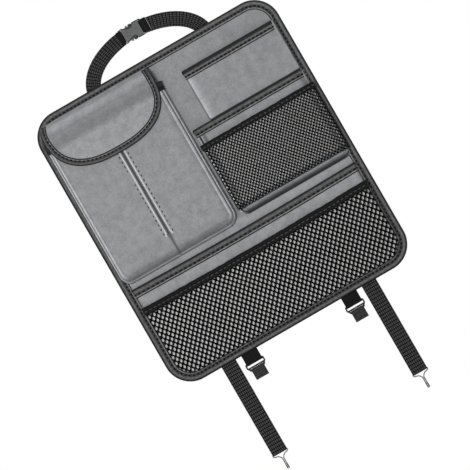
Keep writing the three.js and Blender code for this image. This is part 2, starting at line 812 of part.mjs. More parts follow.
/** The slider: a flat frame with a top bar, a middle bar and a narrower lower bar. */
function slider(x) {
  const wideHalf = tabWidth / 2 + sewingGap;
  const narrowHalf = tailWidth / 2 + sewingGap;
  const top = sliderPivotZ + sliderRim;
  const waist = sliderPivotZ - middleBarDrop - middleBar;
  const low = tailPivotZ - sliderRim;
  const chamfer = 1.6;
  const half = [
    [wideHalf + sliderRail - chamfer, top],
    [wideHalf + sliderRail, top - chamfer],
    [wideHalf + sliderRail, waist + chamfer],
    [narrowHalf + sliderRail, waist - chamfer],
    [narrowHalf + sliderRail, low + chamfer],
    [narrowHalf + sliderRail - chamfer, low],
  ];
  const outline = [...half, ...half.map(([across, z]) => [-across, z]).reverse()];
  const frame = polygon(outline.map(([across, z]) => [x + across, z]));
  const bar = sliderBar / 2;
  const back = strapDepth - sliderDepth / 2;
  const front = strapDepth + sliderDepth / 2;
  const cutBetween = (halfWidth, z0, z1) => block(x - halfWidth, x + halfWidth, back - 1, front + 1, z0, z1);
  const upper = cutBetween(wideHalf, sliderPivotZ - middleBarDrop, sliderPivotZ - bar);
  const lower = cutBetween(narrowHalf, tailPivotZ + bar, waist);
  const brow = cutBetween(wideHalf, sliderPivotZ + bar, top + 1);
  const chin = cutBetween(narrowHalf, low - 1, tailPivotZ - bar);
  const margin = 0.1;
  const relief = (halfWidth, z, depth0, depth1) => (
    block(x - halfWidth, x + halfWidth, depth0, depth1, z - bar - margin, z + bar + margin)
  );
  return plate([frame], back, front)
    .subtract(upper)
    .subtract(lower)
    .subtract(brow)
    .subtract(chin)
    .subtract(relief(wideHalf, sliderPivotZ, back - 1, strapDepth - bar))
    .subtract(relief(wideHalf, sliderPivotZ, strapDepth + bar, front + 1))
    .subtract(relief(narrowHalf, tailPivotZ, back - 1, strapDepth - bar))
    .subtract(relief(narrowHalf, tailPivotZ, strapDepth + bar, front + 1));
}

/** The loose tail folded round the slider's lower bar. */
function sliderTail(x) {
  return hangingLoop({ bore: barBore, layer: tabLayer, doubled: tailLength }, tailWidth, x, tailPivotZ, -1);
}

/** A way through the edge binding for a strap of some width and the sewing gap on each side. */
function strapSlot(left, right, edge) {
  const reach = 3;
  return block(left - sewingGap, right + sewingGap, backDepth, frontBack, edge - reach, edge + reach);
}

function boundEdge() {
  const foot = (halfWidth, height) => halfWidth * Math.cos(Math.asin((panelTop - archZ) / height));
  const outer = foot(archHalfWidth, archHeight) + 1;
  const inner = foot(archHalfWidth - strapWidth, archHeight - strapWidth) - 1;
  let bound = edgeBinding();
  const around = (x, width, edge) => strapSlot(x - width / 2, x + width / 2, edge);
  for (const side of [-1, 1]) {
    bound = bound
      .subtract(around(archX + (side * (outer + inner)) / 2, outer - inner, panelTop))
      .subtract(around(side * longStrapX, longStrapWidth, panelBottom))
      .subtract(around(side * tabX, tabWidth, panelBottom));
  }
  return bound;
}

// Finishes
const leatherette = { color: 0x929394, roughness: 0.55, metalness: 0 };
const backFabric = { color: 0x2f3032, roughness: 0.95, metalness: 0 };
const boardPlastic = { color: 0xd9d9d6, roughness: 0.5, metalness: 0 };
const bindingTape = { color: 0x5d5d5f, roughness: 0.7, metalness: 0 };
const pipingCloth = { color: 0xc9c9c9, roughness: 0.6, metalness: 0 };
const hookAndLoop = { color: 0x202022, roughness: 1, metalness: 0 };
const netThread = { color: 0x161617, roughness: 0.6, metalness: 0 };
const elastic = { color: 0x242425, roughness: 0.85, metalness: 0 };
const webbing = { color: 0x2b2b2c, roughness: 0.85, metalness: 0 };
const greyPlastic = { color: 0x6e6f70, roughness: 0.4, metalness: 0 };
const blackPlastic = { color: 0x1d1d1e, roughness: 0.45, metalness: 0 };
const nickelWire = { color: 0xb5b5b3, roughness: 0.3, metalness: 1 };

const organizer = new THREE.Group();

organizer.add(
  piece('back_cover', backCover(), backFabric),
  piece('stiffener_board', panelLayer(boardInset, boardBack, boardBack + board), boardPlastic),
  piece('front_cover', panelLayer(rimTuck, frontBack, frontDepth), leatherette),
  piece('edge_binding', boundEdge(), bindingTape),
);

organizer.add(
  piece('tissue_pocket', tissuePocket(), leatherette),
  piece('tissue_pocket_binding', boundMouth(tissue, tissueBindingWidth), bindingTape),
  piece('slit_piping_left', slitPiping(-1), pipingCloth),
  piece('slit_piping_right', slitPiping(1), pipingCloth),
  piece('tissue_flap', flapSheet(cloth, rimTuck).subtract(edgeRoom), leatherette),
  piece('flap_binding', flapBinding(), bindingTape),
  piece('pocket_loop_patch', closurePatch(patchBack), hookAndLoop),
  piece('flap_hook_patch', closurePatch(patchBack + patchThickness + sewingGap), hookAndLoop),
);

organizer.add(
  piece('card_pocket', pocketWall(card), leatherette),
  piece('card_pocket_binding', boundMouth(card, cardBindingWidth), bindingTape),
  piece('bellows_pocket', pocketWall(bellows), leatherette),
  piece('bellows_pocket_binding', boundMouth(bellows, bellowsBindingWidth), bindingTape),
  piece('wide_pocket', pocketWall(wide), leatherette),
  piece('wide_pocket_binding', boundMouth(wide, wideBindingWidth), bindingTape),
);

const upperNet = meshPocket(upperMesh, bellows, upperMeshColumns, upperMeshRows, bandWidth);
const lowerNet = meshPocket(lowerMesh, wide, lowerMeshColumns, lowerMeshRows, lowerBandWidth);

organizer.add(
  piece('mesh_pocket_upper', upperNet, netThread),
  piece('mesh_band_upper', meshBand(upperMesh, bellows, bandWidth), elastic),
  piece('mesh_pocket_lower', lowerNet, netThread),
  piece('mesh_band_lower', meshBand(lowerMesh, wide, lowerBandWidth), elastic),
);

organizer.add(
  piece('handle_strap_left', archStrap(-1), webbing),
  piece('handle_strap_right', archStrap(1), webbing),
  piece('buckle_housing', buckleHousing(), greyPlastic),
  piece('buckle_plug', bucklePlug(), greyPlastic),
);

for (const [side, way] of [['left', -1], ['right', 1]]) {
  organizer.add(
    piece(`long_strap_${side}`, longStrap(way * longStrapX), webbing),
    piece(`wire_hook_${side}`, wireHook(way * longStrapX), nickelWire),
    piece(`slider_tab_${side}`, sliderTab(way * tabX), webbing),
    piece(`slider_${side}`, slider(way * tabX), blackPlastic),
    piece(`slider_tail_${side}`, sliderTail(way * tabX), webbing),
  );
}

export default organizer;
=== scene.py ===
"""Car seat back organizer: the looks of every piece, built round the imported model.

Lengths in this file are millimetres: X to the right, depth b from the panel's flat back towards
the front, and Z up. A mesh turns them into metres, with Y = -b.
"""

import math
from collections import namedtuple
from functools import partial

import bmesh
import bpy
import numpy as np
from mathutils import Matrix, Vector


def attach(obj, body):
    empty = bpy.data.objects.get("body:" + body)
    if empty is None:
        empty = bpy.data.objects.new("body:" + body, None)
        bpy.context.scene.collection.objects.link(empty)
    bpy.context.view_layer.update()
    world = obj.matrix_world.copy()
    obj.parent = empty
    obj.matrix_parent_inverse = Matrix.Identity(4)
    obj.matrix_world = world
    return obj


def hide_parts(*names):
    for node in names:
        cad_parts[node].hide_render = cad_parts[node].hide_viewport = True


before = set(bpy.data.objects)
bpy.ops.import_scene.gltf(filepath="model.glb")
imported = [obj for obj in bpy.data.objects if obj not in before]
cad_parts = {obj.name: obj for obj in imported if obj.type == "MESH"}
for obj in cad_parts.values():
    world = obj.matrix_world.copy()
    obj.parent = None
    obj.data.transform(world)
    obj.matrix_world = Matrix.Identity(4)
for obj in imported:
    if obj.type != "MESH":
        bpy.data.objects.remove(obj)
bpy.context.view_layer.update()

MM = 0.001
RIGHT, FRONT, UP = np.eye(3)
SIDES = ((-1, "left"), (1, "right"))

# The panel's half width, half height and round corners, and the depths of its face and its straps
PANEL_X, PANEL_Z, PANEL_CORNER = 207.5, 231.5, 42.0
CORNER_X, CORNER_Z = PANEL_X - PANEL_CORNER, PANEL_Z - PANEL_CORNER
FOOT, STRAP_DEPTH = 6.3, 3.3
SHEET_INSET = 1.2

# The flat outlines of the pockets
Box = namedtuple("Box", "left right top bottom corner")
TISSUE = Box(-193.7, -6.0, 190.0, -46.5, 12.0)
CARD = Box(38.5, 193.0, 186.0, 101.9, 3.0)
BELLOWS = Box(12.0, 193.7, 100.3, -46.5, 9.0)
WIDE = Box(-192.7, 192.7, -63.0, -216.7, 27.5)
UPPER_NET = Box(6.1, 199.6, 74.0, -39.0, 3.0)
LOWER_NET = Box(-193.8, 193.8, -95.5, -217.8, 28.6)
UPPER_NET_FOOT, LOWER_NET_FOOT = 8.4, 7.5
EDGE_STEP, FACE_STEP, MOUTH_STEP, OUTLINE_STEP = 0.8, 3.0, 4.0, 2.0
TAPE_WIDTH = 15  # the width that the mouth tapes' finishes are made for

# The slit of the tissue pocket, and the flap above it with its full round edge
SLIT_X, SLIT_TOP, SLIT_BOTTOM, SLIT_GAP, SLIT_DEPTH = -102.0, 140.0, -17.0, 5.5, 33.1
FLAP_X, FLAP_HALF, FLAP_CURVE_TOP, FLAP_DROP, FLAP_FULLNESS = -101.5, 96.5, 200.0, 73.6, 2.5
FLAP_TAPE = 11.0

# The top strap's arch, its buckle, and the bars and straps below the panel
ARCH_X, ARCH_Z, ARCH_HALF, ARCH_HEIGHT, STRAP_WIDTH = 3.0, 219.3, 108.0, 69.0, 23.2
BUCKLE_Z = ARCH_Z + ARCH_HEIGHT - STRAP_WIDTH / 2
BAR_LEFT, BAR_RIGHT = -16.2, 20.2
LONG_X, HOOK_Z, LONG_LENGTH = 122.5, -385.5, 162.0
TAB_X, SLIDER_Z, TAIL_Z = 87.2, -247.5, -258.4

# Stitches: pitch, length, width, height and how far they stand off the cloth
EDGE_STITCH = (6.5, 4.2, 2.5, 1.2, 0.2)
FLAP_STITCH = (6.5, 4.2, 2.5, 1.2, 0.25)
SLIT_STITCH = (7.82, 4.0, 1.5, 0.9, 0.1)
ELASTIC_STITCH = (7.6, 4.8, 1.6, 0.9, 0.1)
HANDLE_STITCH = (3.2, 3.0, 1.1, 0.8, 0.1)
MOUTH_STITCH = (5.2, 2.7, 1.2, 0.2)  # each mouth has a pitch of its own


def running(lengths):
    """Running totals of lengths, from 0."""
    return np.concatenate([[0], np.cumsum(lengths)])


def length_along(path):
    """The length along a path at each of its points."""
    return running(np.linalg.norm(np.diff(path, axis=0), axis=1))


def sampled(rows, lengths, at):
    """Rows that lie at the given lengths along a path, read at other lengths."""
    return np.stack([np.interp(at, lengths, column) for column in rows.T], 1)


def curve(points, count, closed=False):
    """A smooth curve through the points (Catmull-Rom), cut into equal steps of length."""
    p = np.asarray(points, float)
    if closed:
        p = np.vstack([p, p[:1]])
        ends = np.vstack([p[-2:-1], p, p[1:2]])
    else:
        ends = np.vstack([2 * p[0] - p[1], p, 2 * p[-1] - p[-2]])
    t = np.linspace(0, len(p) - 1, 24 * (len(p) - 1) + 1)
    k = np.minimum(t.astype(int), len(p) - 2)
    f = (t - k)[:, None]
    a, b, c, d = ends[k], ends[k + 1], ends[k + 2], ends[k + 3]
    q = b + 0.5 * f * (c - a + f * (2 * a - 5 * b + 4 * c - d + f * (3 * (b - c) + d - a)))
    s = length_along(q)
    return sampled(q, s, np.linspace(0, s[-1], count, endpoint=not closed))


def steps(*spans):
    """Places along a line: each span is (start, end, step), and spans share their ends."""
    parts = [np.linspace(a, b, max(int(round(abs(b - a) / step)), 1) + 1) for a, b, step in spans]
    return np.concatenate([parts[0]] + [part[1:] for part in parts[1:]])


def unit(v):
    return v / np.maximum(np.linalg.norm(v, axis=-1, keepdims=True), 1e-9)


def heading(path):
    """The unit direction of a path at each of its points."""
    return unit(np.gradient(path, axis=0))


def points_at(*coordinates):
    """Points from their coordinates, of which each is an array or one number."""
    return np.stack(np.broadcast_arrays(*coordinates), -1)


def ripples(x, z, seed, size, count=14):
    """A soft uneven field of about -1 to 1: a sum of plane waves of random direction and phase."""
    rng = np.random.default_rng(seed)
    total = np.zeros_like(x, dtype=float)
    for _ in range(count):
        turn, phase = rng.uniform(0, 2 * np.pi, 2)
        wave = 2 * np.pi / (size * rng.uniform(0.6, 1.8))
        total += np.sin(wave * (x * np.cos(turn) + z * np.sin(turn)) + phase)
    return total / math.sqrt(count)


def hang(p, left, right, sag):
    """How far a mouth hangs down at the places p between its ends."""
    return sag * np.sin(np.pi * np.clip((p - left) / (right - left), 0, 1))


def normals(points):
    """Unit normals of a grid that face the front, as the cross product of its two slopes."""
    n = unit(np.cross(np.gradient(points, axis=0), np.gradient(points, axis=1)))
    return n if n[..., 1].mean() > 0 else -n


def grid_faces(rows, columns, join_rows=False, join_columns=False):
    """Four-sided faces of a grid of points, with the corners' places in the grid of UVs."""
    tall, wide = rows + join_rows, columns + join_columns
    i, j = np.mgrid[0:tall - 1, 0:wide - 1]
    a = np.stack([i, i + 1, i + 1, i]).reshape(4, -1).T
    b = np.stack([j, j, j + 1, j + 1]).reshape(4, -1).T
    return (a % rows) * columns + b % columns, a * wide + b


def reformed(mesh, weld=None):
    """Turns a mesh's faces outwards and shades them smooth, after welding points closer than weld metres."""
    form = bmesh.new()
    form.from_mesh(mesh)
    if weld:
        bmesh.ops.remove_doubles(form, verts=form.verts, dist=weld)
    bmesh.ops.recalc_face_normals(form, faces=form.faces)
    form.to_mesh(mesh)
    form.free()
    mesh.validate()
    mesh.polygons.foreach_set("use_smooth", np.ones(len(mesh.polygons), bool))


def mesh_from(name, points, faces, uv=None, sharp=50):
    """A closed mesh from points in millimetres. Faces are arrays of corners; uv has one row a corner."""
    points = points.reshape(-1, 3)
    sizes = np.concatenate([np.full(len(f), f.shape[1]) for f in faces])
    corners = np.concatenate([f.ravel() for f in faces])
    mesh = bpy.data.meshes.new(name)
    mesh.vertices.add(len(points))
    metres = np.stack([points[:, 0], -points[:, 1], points[:, 2]], 1) / 1000
    mesh.vertices.foreach_set("co", metres.astype(np.float32).ravel())
    mesh.loops.add(len(corners))
    mesh.loops.foreach_set("vertex_index", corners.astype(np.int32))
    mesh.polygons.add(len(sizes))
    mesh.polygons.foreach_set("loop_start", (np.cumsum(sizes) - sizes).astype(np.int32))
    mesh.update(calc_edges=True)
    if uv is not None:
        layer = mesh.uv_layers.new(name="UVMap")
        layer.data.foreach_set("uv", (uv / 1000).astype(np.float32).ravel())
    reformed(mesh)
    mesh.set_sharp_from_angle(angle=math.radians(sharp))
    return mesh


def placed(name, data):
    """A new object in the scene."""
    made = bpy.data.objects.new(name, data)
    bpy.context.scene.collection.objects.link(made)
    return made


def piece(name, form, finishes, nodes=(), body="root"):
    """A shown piece that rides on a body and stands for CAD nodes. Its form is a mesh, or the parts of one."""
    mesh = mesh_from(name, *form) if isinstance(form, tuple) else form
    made = placed(name, mesh)
    for finish_ in finishes if isinstance(finishes, tuple) else (finishes,):
        mesh.materials.append(finish_)
    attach(made, body)
    if nodes:
        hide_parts(*nodes)
    return made


def dress(node, finish_):
    """Gives a finish to a CAD solid that is shown as it is."""
    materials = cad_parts[node].data.materials
    materials.clear()
    materials.append(finish_)


def shell(points, thickness):
    """A closed sheet: a front grid, and a back one set behind it by the thickness along the normal."""
    rows, columns = points.shape[:2]
    both = np.concatenate([points, (points - normals(points) * thickness)[:, ::-1]], 1)
    wide = 2 * columns
    quads, places = grid_faces(rows, wide, join_columns=True)
    step = np.cumsum(np.linalg.norm(np.diff(points, axis=1), axis=2), 1)
    across = np.concatenate([np.zeros((rows, 1)), step], 1)
    down = running(np.linalg.norm(np.diff(points, axis=0), axis=2).mean(1))
    one = np.stack([across, down[:, None] * np.ones((1, columns))], 2)
    uvs = np.concatenate([one, one[:, ::-1], one[:, :1]], 1).reshape(-1, 2)
    j = np.arange(columns - 1)
    cap = np.stack([j, j + 1, wide - 2 - j, wide - 1 - j], 1)
    faces, uv = [quads], [uvs[places].reshape(-1, 2)]
    for i in (0, rows - 1):
        faces.append(cap + i * wide)
        uv.append(uvs[cap + i * (wide + 1)].reshape(-1, 2))
    return both, faces, np.concatenate(uv)


def leather(name, node, grid, painted_shading, thickness=1.2, pale_front=None):
    """A piece of leatherette: its back is the lining, and so is its front where pale_front is true.

    The point attribute painted_shading is painted light and shade: how much paler or darker the cloth is drawn there
    than its plain colour.
    """
    rows, columns = grid.shape[:2]
    mesh = mesh_from(name, *shell(grid, thickness))
    kinds = np.zeros((rows - 1, 2 * columns), np.int32)
    kinds[:, columns:-1] = 1
    if pale_front is not None:
        kinds[:, :columns - 1] = pale_front[:-1, :-1]
    kinds = np.concatenate([kinds.ravel(), np.zeros(2 * (columns - 1), np.int32)])
    mesh.polygons.foreach_set("material_index", kinds)
    both = np.concatenate([painted_shading, painted_shading[:, ::-1]], 1).astype(np.float32)
    mesh.attributes.new("painted_shading", "FLOAT", "POINT").data.foreach_set("value", both.ravel())
    return piece(name, mesh, (LEATHERETTE, LINING), [node])


def bar(points, closed=False, shift=0.0):
    """A closed section carried along a path: rows are stations, columns go round the section."""
    rows, columns = points.shape[:2]
    quads, places = grid_faces(rows, columns, closed, True)
    ring = np.concatenate([points, points[:, :1]], 1)
    if closed:
        ring = np.concatenate([ring, ring[:1]], 0)
    across = running(np.linalg.norm(np.diff(ring, axis=1), axis=2).mean(0)) + shift
    along = running(np.linalg.norm(np.diff(ring, axis=0), axis=2).max(1))
    uvs = np.stack(np.meshgrid(along, across, indexing="ij"), 2).reshape(-1, 2)
    faces, uv = [quads], [uvs[places].reshape(-1, 2)]
    if not closed:
        for i in (0, rows - 1):
            cap = np.arange(columns)
            faces.append(cap[None] + i * columns)
            uv.append(uvs[cap + i * (columns + 1)])
    return points, faces, np.concatenate(uv)


def carried(path, across, out, section):
    """Points of a section, given as (across, out), carried along a path. A direction is one, or one a point."""
    across, out = (np.broadcast_to(way, path.shape) for way in (across, out))
    return path[:, None] + section[:, :1] * across[:, None] + section[:, 1:] * out[:, None]


def webbing(path, across, out, half, thick, rib=0.0, pitch=1.0):
    """A flat band with rounded selvedges along a path, with the cross ribs of its weave on both faces."""
    x = np.linspace(-half, half, 24)
    lift = thick / 2 * (1 - np.abs(x / half) ** 8) ** 0.5
    section = np.concatenate([points_at(x, lift), points_at(x[::-1], -lift[::-1])[1:-1]])
    out = np.broadcast_to(out, path.shape)
    ribs = rib * np.sin(2 * np.pi * length_along(path) / pitch)[:, None, None]
    return bar(carried(path, across, out, section) + out[:, None] * ribs * np.sign(section[None, :, 1:]))


def stitches(path, out, pitch, length, width, height, lift):
    """Thread stitches along a path: each is a low oval loaf, repeated at the stitch's pitch."""
    s = length_along(path)
    at = np.arange(pitch / 2, s[-1], pitch)
    centre, up = sampled(path, s, at), unit(sampled(np.broadcast_to(out, path.shape), s, at))
    along = unit(sampled(path, s, at + 0.5) - sampled(path, s, at - 0.5))
    side = np.cross(along, up)
    turn = np.linspace(0, 2 * np.pi, 6, endpoint=False)
    t = np.array([-0.98, -0.6, 0.0, 0.6, 0.98])
    size = (np.sqrt(1 - t**2) ** 0.6)[:, None]
    grid = (
        along[:, None, None] * (t * length / 2)[None, :, None, None]
        + side[:, None, None] * (size * np.cos(turn) * width / 2)[None, :, :, None]
        + up[:, None, None] * (size * np.sin(turn) * height / 2)[None, :, :, None]
        + (centre + up * lift)[:, None, None]
    )
    rows, sides = len(t), len(turn)
    quads, _ = grid_faces(rows, sides, join_columns=True)
    first = (np.arange(len(at)) * rows * sides)[:, None, None]
    faces = [(quads[None] + first).reshape(-1, 4)]
    for row in (0, rows - 1):
        faces.append((np.arange(sides)[None, None] + row * sides + first).reshape(-1, sides))
    return grid, faces


class Wrap:
    """Cloth wrapped over a box pocket with rounded corners, open at its top.

    The profile goes from the sewn foot to the face as (inset, height, painted shading), the last being painted
    highlight and shade on its folds. A flat place (p, q) at a distance d inside the flat cloth's outline moves along
    the outline's normal, so that its inset is the profile's at the length d. Sides and bottom may have a profile
    each, mixed by the normal's Z.
    """

    def __init__(self, bounds, foot, side, low=None):
        count, scaled = 120, [1, 1, 0.001]  # scaled, so that the tone doesn't count as length
        self.bounds, self.foot = bounds, foot
        self.side, self.low = (curve(np.array(line) * scaled, count) / scaled for line in (side, low or side))
        self.length = np.linalg.norm(np.diff(self.side[:, :2], axis=0), axis=1).sum()
        self.extra = self.length - self.side[-1, 0]
        self.at = np.linspace(0, self.length, count)
        self.left, self.right = bounds.left - self.extra, bounds.right + self.extra
        self.bottom = bounds.bottom - self.extra
        self.turn = self.extra + bounds.corner

    def out_of_corners(self, p, q):
        """How far flat places lie beyond the corners' centres, across and down."""
        b = self.bounds
        dx = p - np.clip(p, b.left + b.corner, b.right - b.corner)
        return dx, np.minimum(q - (b.bottom + b.corner), 0)

    def place(self, p, q):
        """The cloth's points at flat places p, q, and its painted shading there."""
        dx, dz = self.out_of_corners(p, q)
        reach = np.hypot(dx, dz)
        nx, nz = dx / np.maximum(reach, 1e-9), dz / np.maximum(reach, 1e-9)
        d = self.turn - reach
        low = nz**2

        def mixed(column):
            a = np.interp(d, self.at, self.side[:, column])
            return a + (np.interp(d, self.at, self.low[:, column]) - a) * low

        move = np.where(d > self.length, 0, mixed(0) + self.extra - d)
        return points_at(p - nx * move, self.foot + mixed(1), q - nz * move), mixed(2)

    def across(self, face_step):
        """Flat places across the cloth from foot to foot, close together at its sides."""
        return steps(
            (self.left, self.left + self.turn, EDGE_STEP),
            (self.left + self.turn, self.right - self.turn, face_step),
            (self.right - self.turn, self.right, EDGE_STEP),
        )

    def mouth(self, q, top, sag):
        """The cloth's line at the height q as the mouth's edge, its outward directions and its flat places."""
        p = self.across(MOUTH_STEP)
        line, _ = self.place(p, np.full_like(p, q))
        ahead = heading(line)
        out = points_at(-ahead[:, 1], ahead[:, 0], 0.0)
        line[:, 2] = top + 1.2 - hang(p, p[0], p[-1], sag)
        return line, out * np.sign(out[len(p) // 2, 1]), p


def linear(code):
    """An sRGB hex colour as linear light."""
    parts = [int(code[k:k + 2], 16) / 255 for k in (1, 3, 5)]
    return [c / 12.92 if c <= 0.04045 else ((c + 0.055) / 1.055) ** 2.4 for c in parts] + [1.0]


def add(tree, kind, inputs=None, out=0, stops=(), **settings):
    """Adds a node and gives one of its outputs. An input is a value, or a socket that is linked to it.

    Stops are a colour ramp's places and hex colours. Two are joined by an eased step.
    """
    made = tree.nodes.new(f"ShaderNode{kind}")
    for key, value in settings.items():
        setattr(made, key, value)
    for key, value in (inputs or {}).items():
        if isinstance(value, bpy.types.NodeSocket):
            tree.links.new(value, made.inputs[key])
        else:
            made.inputs[key].default_value = value
    if stops:
        made.color_ramp.interpolation = "EASE" if len(stops) == 2 else "LINEAR"
        while len(made.color_ramp.elements) < len(stops):
            made.color_ramp.elements.new(0.5)
        for element, (place, code) in zip(made.color_ramp.elements, stops):
            element.position, element.color = place, linear(code)
    return made.outputs[out] if len(made.outputs) else None


def finish(name, colour, relief=None, strength=0.5, depth=0.5, roughness=0.5, gloss=0.5, metallic=0.0):
    """A material. colour and relief are given node(), which adds to its tree, and return their sockets.

    The relief is depth millimetres deep, and gloss is the level of its specular reflection.
    """
    made = bpy.data.materials.new(name)
    made.use_nodes = True
    made.node_tree.nodes.clear()
    node = partial(add, made.node_tree)
    surface = {"Base Color": colour(node), "Roughness": roughness, "Specular IOR Level": gloss}
    surface["Metallic"] = metallic
    if relief:
        surface["Normal"] = node("Bump", {"Strength": strength, "Distance": depth * MM, "Height": relief(node)})
    node("OutputMaterial", {"Surface": node("BsdfPrincipled", surface)})
    return made


def cloudy(size, shades=None, detail=3.0, places=(0.3, 0.7)):
    """Patches of a size in millimetres: a height, or a colour between two shades."""
    def pattern(node):
        where = node("TexCoord", out="Object")
        patches = node("TexNoise", {"Vector": where, "Scale": 1000 / size, "Detail": detail})
        return node("ValToRGB", {"Fac": patches}, stops=list(zip(places, shades))) if shades else patches

    return pattern


def ribbed(source, *bands):
    """The sum of bands of ribs, each a direction, a period in millimetres and how far it wanders.

    A wave texture repeats every 314.16 / Scale millimetres, and a diagonal one at twice that.
    """
    def height(node):
        total = 0.0
        for way, period, wander in bands:
            scale = 314.16 * (2 if way == "DIAGONAL" else 1) / period
            inputs = {"Vector": node("TexCoord", out=source), "Scale": scale, "Distortion": wander}
            wave = node("TexWave", inputs, "Fac", bands_direction=way)
            total = node("Math", {0: wave, 1: total}, operation="ADD")
        return total

    return height


def with_painted_shading(colour):
    """A cloth's colour times the painted shading of its points: painted highlight and painted shade."""
    def pattern(node):
        painted_shading = node("Attribute", out="Fac", attribute_name="painted_shading")
        return node("VectorMath", {0: colour(node), "Scale": painted_shading}, operation="SCALE")

    return pattern


def leather_colour(node):
    """The mean of broad and small patches, between two greys."""
    both = node("Math", {0: cloudy(12.0, detail=2.0)(node), 1: cloudy(2.8)(node)}, operation="ADD")
    half = node("Math", {0: both, 1: 0.5}, operation="MULTIPLY")
    return node("ValToRGB", {"Fac": half}, stops=[(0.3, "#85878a"), (0.7, "#9fa1a4")])


def leather_grain(node):
    """Round pebbles 1.7 mm wide, on a softer unevenness."""
    where = node("TexCoord", out="Object")
    pebbles = node("TexVoronoi", {"Vector": where, "Scale": 1000 / 1.7}, "Distance")
    return node("Math", {0: pebbles, 1: cloudy(3.0)(node)}, operation="ADD")


def tape(name, *bands):
    """Polyester binding tape, woven, folded over an edge and sewn down: matt, with cross ribs.

    Its bands are shades across its width, in shares of 30 mm, and are painted light and shade: a painted highlight
    on the roll, and painted shade in the line where the seam presses it in. Its ribs are really 0.5 mm, and drawn at
    1 mm.
    """
    def colour(node):
        across = node("SeparateXYZ", {"Vector": node("TexCoord", out="UV")}, "Y")
        share = node("Math", {0: across, 1: 30 * MM}, operation="DIVIDE")
        base = node("ValToRGB", {"Fac": share}, stops=bands)
        fuzz = cloudy(4.0, ("#b8b8b8", "#ffffff"), 6.0, (0.25, 0.75))(node)
        return node("Mix", {0: 1.0, 6: base, 7: fuzz}, 2, data_type="RGBA", blend_type="MULTIPLY")

    return finish(name, colour, ribbed("UV", ("X", 1.0, 0.0)), 0.3, 0.3, roughness=0.7, gloss=0.3)


def thread(name, dark, pale, roughness=0.7, gloss=0.5):
    """Polyester sewing thread, twisted: dull dashes. The twist of 0.3 mm is drawn as patches of 1 mm."""
    return finish(name, cloudy(1.0, (dark, pale)), roughness=roughness, gloss=gloss)


def woven(name, dark, pale, rib, wale):
    """A narrow woven band: dark and dull, with painted highlights as paler floats every rib along it and every wale
    across.
    """
    def colour(node):
        rows = node("Math", {0: ribbed("UV", ("Y", wale, 0.0))(node), 1: 0.5}, operation="ADD")
        ribs = ribbed("UV", ("X", rib / 2, 0.0), ("X", rib, 0.8))(node)
        half = node("Math", {0: ribs, 1: 0.5}, operation="MULTIPLY")
        floats = node("Math", {0: half, 1: rows}, operation="MULTIPLY")
        uneven_glints = node("Math", {0: floats, 1: cloudy(1.6, detail=4.0)(node)}, operation="MULTIPLY")
        return node("ValToRGB", {"Fac": uneven_glints}, stops=[(0.08, dark), (0.6, pale)])

    relief = ribbed("UV", ("DIAGONAL", 1.5, 0.0), ("X", rib, 0.0))
    return finish(name, colour, relief, 0.5, 0.6, roughness=0.85, gloss=0.12)


# Painted shade: how fast the moulding darkens behind its face
HOLLOW_PAINTED_SHADE_FADE = 900.0  # for each metre behind the face, so that hollows are dark from 0.7 mm on


def moulded(name, dark, pale, roughness, gloss, face=None):
    """Acetal or nylon, injection moulded in a finely etched mould: a soft sheen on an even colour.

    The etched grain is really 0.05 mm, and drawn at 0.6 mm. What lies behind the depth face is
    painted darker: painted shade in the hollows.
    """
    def colour(node):
        base = cloudy(3.0, (dark, pale), 5.0)(node)
        if face is None:
            return base
        y = node("SeparateXYZ", {"Vector": node("TexCoord", out="Object")}, "Y")
        behind = node("Math", {0: y, 1: face * MM}, operation="ADD")
        share = node("Math", {0: behind, 1: HOLLOW_PAINTED_SHADE_FADE}, operation="MULTIPLY")
        shade = node("ValToRGB", {"Fac": share}, stops=[(0.0, "#ffffff"), (0.6, "#505050")])
        return node("Mix", {0: 1.0, 6: base, 7: shade}, 2, data_type="RGBA", blend_type="MULTIPLY")

    return finish(name, colour, cloudy(0.6), 0.12, 0.3, roughness, gloss)


# A pixel of the photo is 1.5 mm. Patterns below 3 mm don't show at that distance, and those that
# are finer still are drawn coarser than real, as their comments say, so that a near view has them.

# Polyurethane leatherette, embossed: a flat mid grey with a weak broad sheen and a faint mottle.
# The pebbles are really 0.8 mm wide, and drawn at 1.7 mm.
# The leatherette's colour, and the lining's, is times the point attribute painted_shading: painted highlight and
# painted shade.
LEATHERETTE = finish("leatherette_grey_embossed", with_painted_shading(leather_colour), leather_grain, 0.2, 0.6, 0.5, 0.4)
# Polyester lining, knitted: nearly white and quite dull. Its loops of 0.4 mm are drawn at 0.9 mm.
LINING = finish("knitted_polyester_lining_pale", with_painted_shading(cloudy(3.0, ("#e6e6e5", "#f2f2f1"))), cloudy(0.9),
                0.5, 0.6, roughness=0.9)
# Polyester backing cloth, plain woven: dark and dull. Its threads of 0.5 mm are drawn at 1.5 mm.
BACK_CLOTH = finish("polyester_backing_cloth_dark", cloudy(3.0, ("#26272a", "#3a3b3e")),
                    ribbed("Object", ("Z", 1.5, 0.0), ("X", 1.5, 0.0)), 0.5, 0.5, roughness=0.9)
# Leatherette rolled into an edging: smooth and pale, a light line on both sides of the slit
PIPING = finish("leatherette_rolled_edge_pale", cloudy(6.0, ("#d2d2d2", "#e4e4e4")), cloudy(1.5), 0.3, 0.5)
# Nylon net, knitted: black and dull, so that its lattice stands out from the pale cloth behind it.
# The lay of its filaments, really 0.3 mm, is drawn at 1.2 mm.
NET = finish("nylon_net_black", cloudy(2.0, ("#020203", "#0a0a0b")), ribbed("Object", ("DIAGONAL", 1.2, 2.0)),
             0.4, 0.3, roughness=0.9, gloss=0.08)
THREAD = thread("polyester_thread_black", "#050505", "#0d0d0e", 0.85, 0.2)
GREY_THREAD = thread("polyester_thread_grey", "#2e2e2f", "#4c4c4d")
SEAM_THREAD = thread("polyester_thread_pale", "#8a8a8a", "#a6a6a6")
